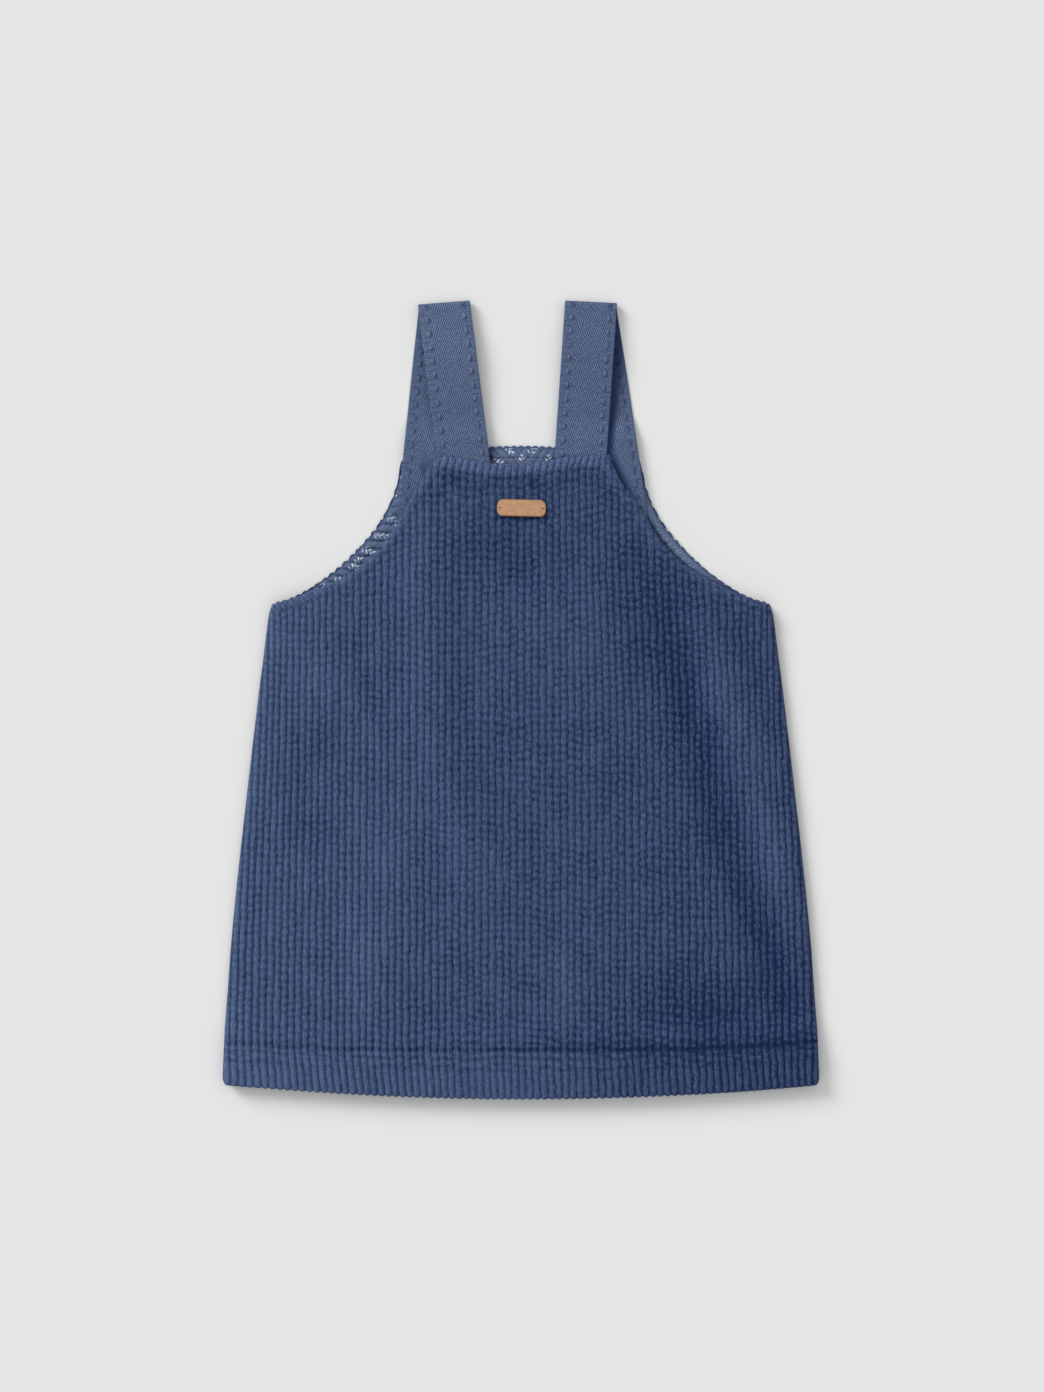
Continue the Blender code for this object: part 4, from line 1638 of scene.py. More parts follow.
@dataclass
class Corduroy:
    """What the two corduroy panels share: their lines and their pile."""

    dress: Dress
    edge: EdgeLine
    per_wale: int = 4
    row: float = 1.25
    fine_row: float = 0.75
    plain_row: float = 9.0
    rim_rows: tuple[float, ...] = (1.2, 0.0)
    scallop: float = 1.0
    ruffle_depth: float = 0.5
    ruffle_pitch: float = 4.6
    ruffle_reach: float = 4.5
    corner_reach: float = 2.8
    corner_blunt: float = 1.1
    short: float = 0.0
    wale_depth: float = 0.8
    bead_depth: float = 0.14

    def columns(self) -> list[Column]:
        """Lays the lines of points up the cloth.

        Returns:
            The lines, from left to right.
        """
        shape = self.dress.shape
        count = shape.wales * self.per_wale
        s = np.linspace(-shape.half_width, shape.half_width, count + 1)
        phase = np.abs(2 * (np.arange(count + 1) % self.per_wale) / self.per_wale - 1)
        smooth = smoothstep(s, 85.0, 125.0) + smoothstep(-s, 150.0, 165.0)
        back = self.scallop * phase**2 * (1 - 0.7 * smooth)
        starts = shape.hem(s) + self.short + back
        ends = shape.line_end(s, self.edge) - self.scallop * phase**2
        tops = shape.hem_top(s)
        found = []
        for place, start, end, top in zip(s, starts, ends, tops):
            near_end = end - CLOSE_ROWS[::-1]
            low = np.arange(start + 2.4, top - 13.0, self.row)
            hem = np.arange(top - 12.4, top + 3.0, self.fine_row)
            high = np.arange(top + 3.7, shape.length, self.row)
            rows = np.concatenate([start + CLOSE_ROWS, low, hem, high])
            rows = rows[rows < end - 2.0]
            if len(rows) < 4:
                rows = start + (end - 1.4 - start) * np.array([0.0, 0.1, 0.3, 0.6])
                near_end = end - (end - start) * np.array([0.3, 0.15, 0.05, 0.0])
            low = np.arange(start + 6.0, top - 4.0, self.plain_row)
            high = np.arange(top + 7.0, shape.length, self.plain_row)
            plain = np.concatenate([[start, start + 1.2], low, [top - 1.6, top + 1.6], high])
            plain = plain[plain < end - self.rim_rows[0] - 2.0]
            if len(plain) < 2:
                plain = start + (end - start) * np.array([0.0, 0.3])
            room = (end - start) * np.linspace(0.5, 0, len(self.rim_rows))
            plain_end = end - np.minimum(self.rim_rows, room)
            rows = np.concatenate([rows, near_end])
            found.append(Column(place, rows, np.concatenate([plain, plain_end])))
        return found

    def edge_distance(self, x: Array, y: Array) -> Array:
        """Measures how far the panel's outline is, sides and all, over its hem.

        Args:
            x: The points' x.
            y: The points' y.

        Returns:
            The distance of each point, or FAR in the middle of the cloth.
        """
        far = np.full(len(x), FAR)
        side = self.dress.shape.half_width_at(y) - np.abs(x)
        near = (self.edge.height(x) - y < NEAR_EDGE) | (side < 12.0)
        far[near] = self.edge.distance(x[near], y[near])
        return far

    def seam_distance(self, x: Array, y: Array) -> Array:
        """The distance to the panel's outline and its hem."""
        return np.minimum(self.edge_distance(x, y), y - self.dress.shape.hem(x) - self.short)

    def ruffle(self, x: Array, y: Array) -> tuple[Array, Array, Array]:
        """Waves the turned edge in and out where it runs up the cloth.

        Args:
            x: The points' x.
            y: The points' y.

        Returns:
            The moved x and y, and how far in the wave is at each point, from 0 to 1.
        """
        edge, wave = self.edge, np.zeros(len(x))
        x, y = x.copy(), y.copy()
        near = (edge.height(x) - y < NEAR_EDGE) & (y > self.dress.shape.underarm - 6.0)
        far, arc = edge.measure(x[near], y[near])
        inward = np.stack([np.interp(arc, edge.arcs, edge.inward[:, axis]) for axis in (0, 1)], axis=1)
        turns = arc / self.ruffle_pitch + 0.35 * SoftNoise(41, 9.0, 9.0).at(arc, arc * 0.0)
        steep = smoothstep(np.abs(inward[:, 0]), 0.35, 0.75)
        fade = (1 - smoothstep(far, 0.0, self.ruffle_reach)) * steep
        wave[near] = fade * (0.5 - 0.5 * np.cos(math.tau * turns))
        x[near] += self.ruffle_depth * wave[near] * inward[:, 0]
        y[near] += self.ruffle_depth * wave[near] * inward[:, 1]
        corner = SIDE[-1]
        blunt = bell(np.hypot(np.abs(x) - corner.x, y - corner.y), self.corner_reach)
        x -= 0.8 * self.corner_blunt * blunt * np.sign(x)
        y -= 0.6 * self.corner_blunt * blunt
        return x, y, wave

    def plain_values(self, s: Array, y: Array, tone: float) -> dict[str, Array]:
        """The values of a face without wales."""
        none = np.zeros(len(s))
        keys = ("relief", "crushed", "border")
        return {"wale": none + 0.5, "rise": y, "tone": none + tone} | {key: none for key in keys}

    def press(self, piece: Item, depth: float) -> None:
        """Presses the wales into a panel.

        Args:
            piece: The panel.
            depth: How deep, negative on an under face.
        """
        inputs = {
            "Depth": depth * MM,
            "Gap Depth": math.copysign(self.bead_depth, depth) * MM,
            "Material": self.dress.corduroy,
        }
        bake_modifier(piece, wale_tree(), inputs)


@dataclass
class FrontPanel(Corduroy):
    """The front: wales on its outer face, turned edges, topstitching and the hem's turn-up."""

    border: float = 6.0
    neck_wider: float = 1.8
    border_puff: float = 0.55
    groove: float = 0.8
    groove_width: float = 1.1
    hem_notch: float = 0.45
    crease: float = 0.9
    crease_width: float = 1.15
    underarm_pitch: float = 2.9
    rib_slant: float = 0.28
    pinch: SoftNoise = SoftNoise(21, 2.7, 19.0)
    fuzz: SoftNoise = SoftNoise(22, 2.1, 1.7)

    def upper_edge(self) -> EdgeLine:
        """The armholes and the neckline, without the sides."""
        return self.edge.above(self.dress.shape.underarm - 0.1)

    def neck_share(self, x: Array, y: Array) -> Array:
        """1 along the neckline and 0 along the armholes."""
        return (1 - smoothstep(np.abs(x + 1.0), 44.0, 56.0)) * smoothstep(y, 345.0, 356.0)

    def border_width(self, x: Array, y: Array) -> Array:
        """How far in the topstitching lies: further along the neckline than along the armholes."""
        return self.border + self.neck_wider * self.neck_share(x, y)

    def hem_tone(self, x: Array, y: Array, side: Array) -> Array:
        """How the pile's lightness changes over the turn-up, its edge and its stitches: painted shade
        along the crease, in the stitches' notch and in a soft band above the crease, and the turn-up
        painted lighter on the left and darker on the right, painted light and shade.

        Args:
            x: The points' x.
            y: The points' y.
            side: 1 in a valley between two wales and 0 on a crest.

        Returns:
            How much lighter each point is.
        """
        shape = self.dress.shape
        line, over = y - shape.hem_stitch(x), y - shape.hem_top(x)
        # Painted shade along the crease and in the stitches' notch.
        crease = bell(over - 0.7, self.crease_width) * (0.7 + 0.3 * side)
        stitches = bell(line, 0.55)
        beads = bell(line + 6.0, 1.1) * (0.5 + 0.5 * self.fuzz.at(x * 0.35, y * 0.3))
        band = shape.turn_up_share(x, y)
        ruffle = band * smoothstep(line, -6.0, -3.0)
        # The turn-up is painted lighter on the left and darker on the right: painted light and shade.
        light = 0.06 - 0.36 * smoothstep(x, -20.0, 110.0) + 0.14 * smoothstep(-x, 110.0, 165.0)
        light = band * light + 0.10 * ruffle
        # Painted shade in a soft band just above the crease.
        soft = 0.32 * bell(over - 3.5, 4.0) * smoothstep(x, -60.0, 60.0)
        strength = 0.56 + 0.34 * smoothstep(x, -20.0, 100.0) + 0.18 * self.fuzz.at(x * 0.3, y * 0.3)
        return light - strength * crease - 0.20 * stitches - 0.34 * beads - soft

    def edge_tone(self, x: Array, y: Array, upper: Array, neck: Array, puckers: Array) -> Array:
        """How the pile's lightness changes along the upper edges, the left side and the leather tab:
        painted shade along the neckline's groove, in its gathers, in a band below it and in the
        underarm puckers, painted light along the left side, and a painted shadow round the tab, deepest
        below it.

        Args:
            x: The points' x.
            y: The points' y.
            upper: Their distance to the armholes and the neckline.
            neck: 1 along the neckline and 0 along the armholes.
            puckers: How deep they lie in the puckers of the underarm corners.

        Returns:
            How much lighter each point is.
        """
        beyond = upper - self.border_width(x, y)
        # Painted shade in the gathers below the neckline's border, in its groove and in a soft band
        # below it.
        gathers_shade = bell(beyond - 4.5, 4.5) * np.minimum(0.0, self.pinch.at(x, y))
        neckline = 0.5 * gathers_shade - 0.34 * bell(beyond - 0.2, 0.8) - 0.15 * bell(beyond - 5.5, 4.5)
        rim = (1 - smoothstep(upper, 0.5, 5.0)) * (0.12 + 0.16 * smoothstep(-x, 50.0, 70.0))
        corner = smoothstep(-x, 112.0, 126.0) * (1 - smoothstep(upper, 5.0, 8.5))
        # Painted shade in the underarm puckers.
        armholes = rim - puckers + 0.34 * corner
        # Painted light along the left side's rolled edge, which faces the light.
        left = 0.18 * bell(self.dress.shape.half_width_at(y) - np.abs(x), 6.0) * (x < 0) * (y > 34.0)
        # Painted shadow round the leather tab, deepest below it.
        tab_x, tab_y = np.abs(x - 0.3) - 13.0, np.abs(y - 346.0) - 4.6
        tab = bell(np.hypot(np.maximum(tab_x, 0), np.maximum(tab_y, 0)), 1.9)
        return neck * neckline + (1 - neck) * armholes + left - (0.3 + 0.25 * (y < 343.0)) * tab

    def puckers(self, x: Array, upper: Array, arc: Array) -> tuple[Array, Array]:
        """Draws up the cloth at the underarm corners, mostly on the left.

        Args:
            x: The points' x.
            upper: Their distance to the armholes.
            arc: Their place along the armholes.

        Returns:
            How near each point is to a corner, and how deep in one of its small puckers.
        """
        corner = smoothstep(np.abs(x), 112.0, 126.0) * (1 - smoothstep(upper, 5.0, 8.5))
        corner = corner * np.where(x < 0, 1.0, 0.3)
        wave = 0.5 - 0.5 * np.cos(math.tau * (arc - 0.4 * upper) / self.underarm_pitch)
        return corner, corner * wave

    def outer(self, s: Array, y: Array) -> Face:
        """Places the outer face.

        Args:
            s: The lines' places at the hem.
            y: The heights.

        Returns:
            The points, and the values that they carry.
        """
        pile, shape = self.dress.pile, self.dress.shape
        x = shape.wale_x(s, y)
        seam = self.seam_distance(x, y)
        x = x + pile.sway_at(s, y) * smoothstep(seam, 0.0, 3.0)
        upper, arc = self.upper_distance(x, y)
        corner, puckers = self.puckers(x, upper, arc)
        neck = self.neck_share(x, y)
        width = self.border_width(x, y)
        border = 1 - smoothstep(upper, width - 1.2, width + 0.6)
        slant = neck * self.rib_slant * (1 - 0.6 * bell(x, 18.0))
        x = x + slant * np.clip(width - upper, 0.0, width)
        groove = bell(upper - width - 0.2, self.groove_width) * (0.25 + 0.75 * neck)
        line = y - shape.hem_stitch(x)
        notch = bell(line, 0.8)
        crease = bell(y - shape.hem_top(x) - 0.7, self.crease_width)
        under = shape.front_under(x, y)
        puff = self.border_puff * border * np.sin(np.pi * np.clip(upper / width, 0, 1)) ** 0.7
        top = under + shape.front_thickness(x, y) + puff
        top = top - self.groove * groove - self.hem_notch * notch - self.crease * crease - 0.3 * puckers
        middle = under + 0.4 * (top - under)
        roll = rounded(seam, 1.8)
        z = middle + (top - middle) * (0.12 + 0.88 * roll)
        low = 1 - smoothstep(line, -7.5, -5.0)
        relief = pile.relief(x, y) * (1 + border * (0.55 * neck - 0.25 * (1 - neck)))
        relief = relief * (1 - 0.6 * corner)
        # Painted shade in the folds' troughs and painted light on their ridges, added to the pile's
        # tone.
        tone = pile.tone(x, y) + pile.fold_lift_shading * shape.fold_lift(x, y)
        side = np.abs(2 * (self.dress.wale(s) % 1.0) - 1)
        tone = tone + self.hem_tone(x, y, side) + self.edge_tone(x, y, upper, neck, puckers)
        tone = tone + 0.28 * border * (1 - neck) * self.fuzz.at(x, y)
        values = {
            "wale": self.dress.wale(s),
            "rise": y,
            "crushed": pile.crushed(x, low) * (1 - border * (0.15 + 0.45 * neck)),
            "relief": (0.45 + 0.55 * roll) * relief,
            "tone": tone,
            "border": border * (0.35 + 2.4 * neck),
        }
        x, y, wave = self.ruffle(x, y)
        # Painted shade where the turned edge waves in.
        values["tone"] = values["tone"] - 0.2 * wave
        return np.stack([x, y, z], axis=1), values

    def upper_distance(self, x: Array, y: Array) -> tuple[Array, Array]:
        """Measures how far the armholes and the neckline are.

        Args:
            x: The points' x.
            y: The points' y.

        Returns:
            The distance of each point, and its place along them.
        """
        far, arc = np.full(len(x), FAR), np.zeros(len(x))
        near = (self.edge.height(x) - y < NEAR_EDGE) & (y > self.dress.shape.underarm - 25.0)
        far[near], arc[near] = self.upper_edge().measure(x[near], y[near])
        return far, arc

    def inner(self, s: Array, y: Array) -> Face:
        """Places the plain inside.

        Args:
            s: The lines' places at the hem.
            y: The heights.

        Returns:
            The points, and the values that they carry.
        """
        shape = self.dress.shape
        x = shape.wale_x(s, y)
        seam = self.seam_distance(x, y)
        under = shape.front_under(x, y)
        lift = 0.28 * shape.front_thickness(x, y) * (1 - smoothstep(seam, 0.0, 1.2))
        values = self.plain_values(s, y, -0.35)
        x, y, _ = self.ruffle(x, y)
        return np.stack([x, y, under + lift], axis=1), values

    def surface(self, x: Array, y: Array) -> Array:
        """The height of the wales' crests, for what is sewn on them."""
        return self.dress.shape.front_under(x, y) + self.dress.shape.front_thickness(x, y)

    def build(self) -> Item:
        """Makes the panel.

        Returns:
            The piece.
        """
        dress, shape = self.dress, self.dress.shape
        shell = ClothShell(self.columns(), self.per_wale)
        piece = shell.build("front_cloth", dress.placing, self.outer, self.inner, shape.pitch)
        self.press(piece, self.wale_depth)
        dress.ride(piece, Slot.CORDUROY, "front_panel")
        return piece

    def stitch_paths(self) -> list[Array]:
        """Follows the armholes and the neckline with the topstitching.

        Returns:
            The path.
        """
        shape = self.dress.shape
        edge = self.upper_edge()
        width = self.border_width(*edge.curve.T)
        moved = edge.curve + width[:, None] * edge.inward
        clear = edge.distance(*moved.T) > width - 0.35
        run = moved[clear & (np.abs(moved[:, 0]) < shape.half_width_at(moved[:, 1]) - 1.0)]
        return [np.column_stack([run, self.surface(*run.T) - self.groove - 0.15])]

    def hem_paths(self) -> list[Array]:
        """Follows the line of stitches that holds the turn-up.

        Returns:
            The path.
        """
        shape = self.dress.shape
        x = np.linspace(-shape.half_width + 1.2, shape.half_width - 1.2, 240)
        y = shape.hem_stitch(x)
        return [np.column_stack([x, y, self.surface(x, y) - self.hem_notch - 0.05])]


@dataclass
class BackPanel(Corduroy):
    """The back: its wales rest on the surface, and their ends show round its upper edge."""

    row: float = 1.45
    rim_rows: tuple[float, ...] = (5.2, 4.0, 3.0, 2.1, 1.3, 0.6, 0.0)
    ruffle_depth: float = 0.9

    def outer(self, s: Array, y: Array) -> Face:
        """Places the outer face, which lies underneath.

        Args:
            s: The lines' places at the hem.
            y: The heights.

        Returns:
            The points, and the values that they carry.
        """
        pile, shape = self.dress.pile, self.dress.shape
        x = shape.wale_x(s, y)
        edge = self.edge_distance(x, y)
        seam = np.minimum(edge, y - shape.hem(x) - self.short)
        x = x + pile.sway_at(s + 900.0, y) * smoothstep(seam, 0.0, 3.0)
        middle = 0.55 * self.thickness(x, y)
        roll = rounded(seam, 1.6)
        line = y - shape.hem_stitch(x)
        stitched = np.minimum(bell(line, 0.9) + bell(edge - 6.3, 0.9), 1.0)
        z = middle * (1 - (0.12 + 0.88 * roll)) + 0.4 * stitched
        low = 1 - smoothstep(line, -7.5, -5.0)
        values = {
            "wale": self.dress.wale(s) + 200.0,
            "rise": y,
            "crushed": pile.crushed(-x, low),
            "relief": (0.35 + 0.65 * roll) * pile.relief(-x, y),
            # Painted shade along the stitch lines.
            "tone": pile.tone(-x, y) - 0.2 * stitched,
            "border": np.zeros(len(x)),
        }
        x, y, wave = self.ruffle(x, y)
        # Painted shade where the edge waves in.
        values["tone"] = values["tone"] - 0.4 * wave
        return np.stack([x, y, z], axis=1), values

    def thickness(self, x: Array, y: Array) -> Array:
        """The back's thickness, doubled in its turn-up."""
        shape = self.dress.shape
        return shape.cloth + shape.turn_up * shape.turn_up_share(x, y)

    def inner(self, s: Array, y: Array) -> Face:
        """Places the inside, which shows as a rim beyond the facing.

        Args:
            s: The lines' places at the hem.
            y: The heights.

        Returns:
            The points, and the values that they carry.
        """
        shape = self.dress.shape
        x = shape.wale_x(s, y)
        seam = self.seam_distance(x, y)
        drop = 0.3 * self.thickness(x, y) * (1 - smoothstep(seam, 0.0, 1.2))
        z = self.thickness(x, y) - drop
        values = self.plain_values(s, y, 0.05)
        values["tone"] = values["tone"] - 0.45 * smoothstep(-x, 40.0, 70.0)
        x, y, wave = self.ruffle(x, y)
        # The rim's dips are lowered and painted darker: painted shade.
        values["tone"] = values["tone"] - 0.75 * wave
        return np.stack([x, y, z - 0.5 * wave], axis=1), values

    def build(self) -> Item:
        """Makes the panel.

        Returns:
            The piece.
        """
        dress, shape = self.dress, self.dress.shape
        shell = ClothShell(self.columns(), 1)
        piece = shell.build("back_cloth", dress.placing, self.outer, self.inner, shape.pitch)
        self.press(piece, -0.8 * self.wale_depth)
        dress.ride(piece, Slot.CORDUROY, "back_panel")
        return piece


@dataclass
class BackFacing:
    """The printed facing on the inside of the back, drawn into soft puckers by its seam."""

    dress: Dress
    reach: float = 137.0
    inset_left: float = 1.9
    inset_right: float = 1.2
    foot_middle: float = 306.0
    foot_side: float = 268.0
    column: float = 0.9
    row: float = 0.9
    pucker: float = 0.34
    pucker_pitch: float = 5.6
    pucker_slant: float = 0.8
    stitch_in: float = 5.4
    strap_edge: float = -18.4

    def edge(self) -> EdgeLine:
        """The facing's upper edge, set in from the back's."""
        half_width = self.dress.shape.half_width
        return self.dress.back_edge.inset(self.inset_left, self.inset_right, half_width)

    def columns(self) -> list[Column]:
        """Lays the lines of points up the facing.

        Returns:
            The lines, from left to right.
        """
        edge = self.edge()
        found = []
        for x in np.linspace(-self.reach, self.reach, int(2 * self.reach / self.column) + 1):
            foot = self.foot_middle + (self.foot_side - self.foot_middle) * (x / self.reach) ** 2
            top = float(edge.height(x))
            rows = np.concatenate([np.arange(foot, top - 1.6, self.row), [top - 0.9, top - 0.35, top]])
            plain = np.concatenate([np.linspace(foot, top - 1.0, 5), [top]])
            found.append(Column(float(x), rows, plain))
        return found

    def face(self, s: Array, y: Array) -> Face:
        """Places the printed face.

        Args:
            s: The points' x.
            y: The points' y.

        Returns:
            The points, and how much painted shade lies on each of them and how strongly each is
            printed.
        """
        shape = self.dress.shape
        distance, place = self.edge().measure(s, y)
        slant = self.pucker_slant * distance * np.where(s < 0, -1.0, 1.0)
        drift = 0.45 * SoftNoise(31, 17.0, 9.0).at(place, distance)
        turns = (place + slant) / self.pucker_pitch + drift
        wave = np.sin(math.tau * turns) * (0.65 + 0.35 * SoftNoise(32, 13.0, 6.0).at(place, distance))
        wave = wave * (1 - 0.4 * smoothstep(s, 55.0, 75.0))
        fade = smoothstep(distance, 0.0, 1.6) * (1 - smoothstep(distance, 9.0, 17.0))
        roll = rounded(distance, 1.4)
        sunk = 0.25 * bell(distance - self.stitch_in, 0.8)
        base = shape.cloth + shape.gap + 0.3
        z = base + (shape.facing - 0.45) * (0.1 + 0.9 * roll) + self.pucker * fade * wave - sunk
        # Painted shade in the puckers' troughs, at the edge and along the stitch line, with the painted
        # shadow of the front and the strap.
        hollow = fade * (0.95 * smoothstep(-wave, 0.2, 0.85) - 0.12) + 0.40 * bell(distance, 0.9)
        hollow = hollow + 0.25 * bell(distance - self.stitch_in, 0.7) + self.front_shade(s, y)
        printed = 1 - 0.85 * smoothstep(s, 55.0, 75.0) + 0.35 * bell(s, 25.0)
        return np.stack([s, y, z], axis=1), {"hollow": np.minimum(hollow, 1.3), "printed": printed}

    def front_shade(self, x: Array, y: Array) -> Array:
        """The painted shadow that the front's right edge and the left strap's inner edge cast on the
        facing.

        Args:
            x: The points' x.
            y: The points' y.

        Returns:
            How dark each point is.
        """
        far = self.dress.front_edge.distance(x, y)
        outside = y > self.dress.front_edge.height(x)
        right = smoothstep(x, 10.0, 60.0)
        under_strap = bell(x - self.strap_edge - 0.15 * (383.0 - y), 1.7) * (y > 366.0)
        return outside * (0.1 + 0.8 * right) * bell(far, 1.5) + 0.85 * under_strap

    def under(self, s: Array, y: Array) -> Face:
        """Places the face that lies on the back."""
        z = np.full(len(s), self.dress.shape.cloth + self.dress.shape.gap)
        return np.stack([s, y, z], axis=1), {"hollow": np.zeros(len(s)), "printed": np.ones(len(s))}

    def build(self) -> Item:
        """Makes the facing.

        Returns:
            The piece.
        """
        dress = self.dress
        shell = ClothShell(self.columns(), 4)
        piece = shell.build("facing_cloth", dress.placing, self.face, self.under, 1.0)
        piece.data.materials.append(dress.cotton)
        dress.ride(piece, Slot.COTTON, "back_facing")
        return piece

    def stitch_paths(self) -> list[Array]:
        """Follows the facing's edge, a little in from it, with the stitches that hold it down.

        Returns:
            The path.
        """
        edge = self.edge()
        seen = (np.abs(edge.curve[:, 0]) < self.reach - 4.0) & (edge.curve[:, 1] > 290.0)
        moved = (edge.curve + self.stitch_in * edge.inward)[seen]
        moved = moved[edge.distance(*moved.T) > self.stitch_in - 0.3]
        z = np.full(len(moved), self.dress.shape.cloth + self.dress.shape.gap + 0.72)
        return [np.column_stack([moved, z])]


class StrapPlace(NamedTuple):
    """One strap: its node, its fold's middle and tilt, and where its two ends lie."""

    node: str
    fold_x: float
    fold_tilt: float
    front_end_x: float
    back_end_x: float


STRAPS = [
    StrapPlace("strap_left", -45.0, 4.4, -31.8, -57.8),
    StrapPlace("strap_right", 41.0, -2.9, 33.9, 59.5),
]


@dataclass
class Strap:
    """A twill tape, folded over at the top, with raised stitches along both edges."""

    dress: Dress
    where: StrapPlace
    width: float = 30.6
    fold_radius: float = 2.3
    close: float = 60.0
    front_end: float = 361.0
    back_end: float = 338.0
    climb_foot: float = 384.5
    climb_top: float = 402.0
    across: int = 36
    station: float = 1.1
    stitch_in: float = 4.4
    tuft_half: float = 0.55
    arch: float = 3.4
    end_thin: float = 0.55
    end_soft: float = 12.0

    def rise(self, y: float) -> float:
        """How far the strap has climbed from the surface onto the back and its facing."""
        shape = self.dress.shape
        full = shape.cloth + shape.facing + 2 * shape.gap
        return full * float(1 - smoothstep(y, self.climb_foot, self.climb_top))

    def _fold(self) -> Array:
        """The fold's middle, where its round begins."""
        reach = self.fold_radius + self.dress.shape.tape / 2
        slant = self.width / 2 * math.sin(math.radians(abs(self.where.fold_tilt)))
        return np.array([self.where.fold_x, self.dress.shape.length - reach - slant])

    def half(self, half: Half) -> list[tuple]:
        """Lays the stations of one half, from its sewn end to the fold.

        Args:
            half: Which half.

        Returns:
            The stations, each its x, y, z, tilt and turn.
        """
        tape, gap = self.dress.shape.tape, self.dress.shape.gap
        fold = self._fold()
        if half is Half.FRONT:
            end = np.array([self.where.front_end_x, self.front_end])
        else:
            end = np.array([self.where.back_end_x, self.back_end])
        run = fold - end
        length = float(np.hypot(*run))
        straight = math.atan2(-run[0], run[1])
        found = []
        for share in np.linspace(0, 1, int(length / self.station) + 1):
            x, y = end + run * share
            near = float(1 - smoothstep(length * (1 - share), 0.0, self.close))
            tilt = math.radians(self.where.fold_tilt) * near + straight * (1 - near)
            z = self.rise(y) + tape / 2
            if half is Half.FRONT:
                arch = smoothstep(share, 0.18, 0.5) * (1 - smoothstep(share, 0.7, 1.0))
                z += tape + gap + (2 * self.fold_radius - tape - gap) * near + self.arch * float(arch)
            found.append((x, y, z, tilt, 0.0 if half is Half.FRONT else math.pi))
        return found

    def stations(self) -> list[tuple]:
        """Lays all stations, from the front end over the fold to the back end.

        Returns:
            The stations, each its x, y, z, tilt and turn.
        """
        fold, radius, tape = self._fold(), self.fold_radius, self.dress.shape.tape
        tilt = math.radians(self.where.fold_tilt)
        turn = []
        for angle in np.linspace(0, math.pi, 14)[1:-1]:
            out = radius * math.sin(angle)
            z = tape / 2 + radius * (1 + math.cos(angle))
            x, y = fold[0] - out * math.sin(tilt), fold[1] + out * math.cos(tilt)
            turn.append((x, y, z, tilt, angle))
        return self.half(Half.FRONT) + turn + self.half(Half.BACK)[::-1]

    @staticmethod
    def axes(tilt: float, angle: float) -> tuple[Array, Array]:
        """Finds the tape's directions at a station.

        Args:
            tilt: How far the tape is turned aside there.
            angle: How far it has gone round the fold.

        Returns:
            The directions across it and through it.
        """
        across = np.array([math.cos(tilt), math.sin(tilt), 0.0])
        out = np.array([-math.sin(tilt), math.cos(tilt), 0.0])
        return across, out * math.sin(angle) + np.array([0.0, 0.0, math.cos(angle)])

    def section(self) -> Array:
        """Draws the tape's cross-section, round at its selvedges.

        Returns:
            The points of the section: how far across each lies, and how far through.
        """
        half, thick = self.width / 2, self.dress.shape.tape / 2
        flat = np.linspace(-half + thick, half - thick, self.across)
        round_ = np.linspace(math.pi / 2, -math.pi / 2, 7)[1:-1]
        top = [(a, thick) for a in flat]
        right = [(half - thick + thick * math.cos(t), thick * math.sin(t)) for t in round_]
        under = [(a, -thick) for a in flat[::-1]]
        left = [(-half + thick - thick * math.cos(t), -thick * math.sin(t)) for t in round_]
        return np.array(top + right + under + left)

    def build(self) -> Item:
        """Makes the tape.

        Returns:
            The piece.
        """
        section, stations = self.section(), self.stations()
        dent = self.width / 2 - self.stitch_in
        points, uv, shade, length, last = [], [], [], 0.0, None
        back_end = np.array([self.where.back_end_x, self.back_end])
        for x, y, z, tilt, angle in stations:
            from_end = float(np.hypot(x - back_end[0], y - back_end[1])) if angle == math.pi else FAR
            thin = 1 - self.end_thin * float(1 - smoothstep(from_end, 0.0, self.end_soft))
            z -= (1 - thin) * self.dress.shape.tape / 2
            across, through = self.axes(tilt, angle)
            centre = np.array([x, y, z])
            if last is not None:
                length += float(np.linalg.norm(centre - last))
            last = centre
            row = 0.10 * bell(np.abs(section[:, 0]) - dent, 1.6) * np.sign(section[:, 1])
            thick = (section[:, 1] * 0.92 - row) * thin
            points.append(centre + np.outer(section[:, 0], across) + np.outer(thick, through))
            uv.append(np.stack([section[:, 0], np.full(len(section), length)], axis=1))
            up = np.clip(0.5 + 2 * section[:, 1] / self.dress.shape.tape * through[2], 0.0, 1.0)
            shade.append(self.shade(points[-1], angle) * up)
        faces = stack_faces(len(stations), len(section))
        name = self.where.node + "_tape"
        values = {"shade": np.concatenate(shade)}
        piece = make_mesh(name, np.vstack(points), faces, self.dress.placing, np.vstack(uv), values)
        piece.data.materials.append(self.dress.tape)
        self.dress.ride(piece, Slot.TAPE, self.where.node)
        return piece

    def shade(self, points: Array, angle: float) -> Array:
        """Paints shade on the back half beside the front half, which keeps the light off it, a painted
        shadow beside the bib's edge and at the left strap's corner, and painted light on the left
        strap's front half near the fold.

        Args:
            points: The points.
            angle: How far round the fold they lie.

        Returns:
            How dark each point is.
        """
        x, y = points[:, 0], points[:, 1]
        if angle != math.pi:
            # Painted light on the left strap's front half near the fold.
            return -0.16 * smoothstep(y, 395.0, 440.0) * (self.where.fold_x < 0)
        if self.where.fold_x < 0:
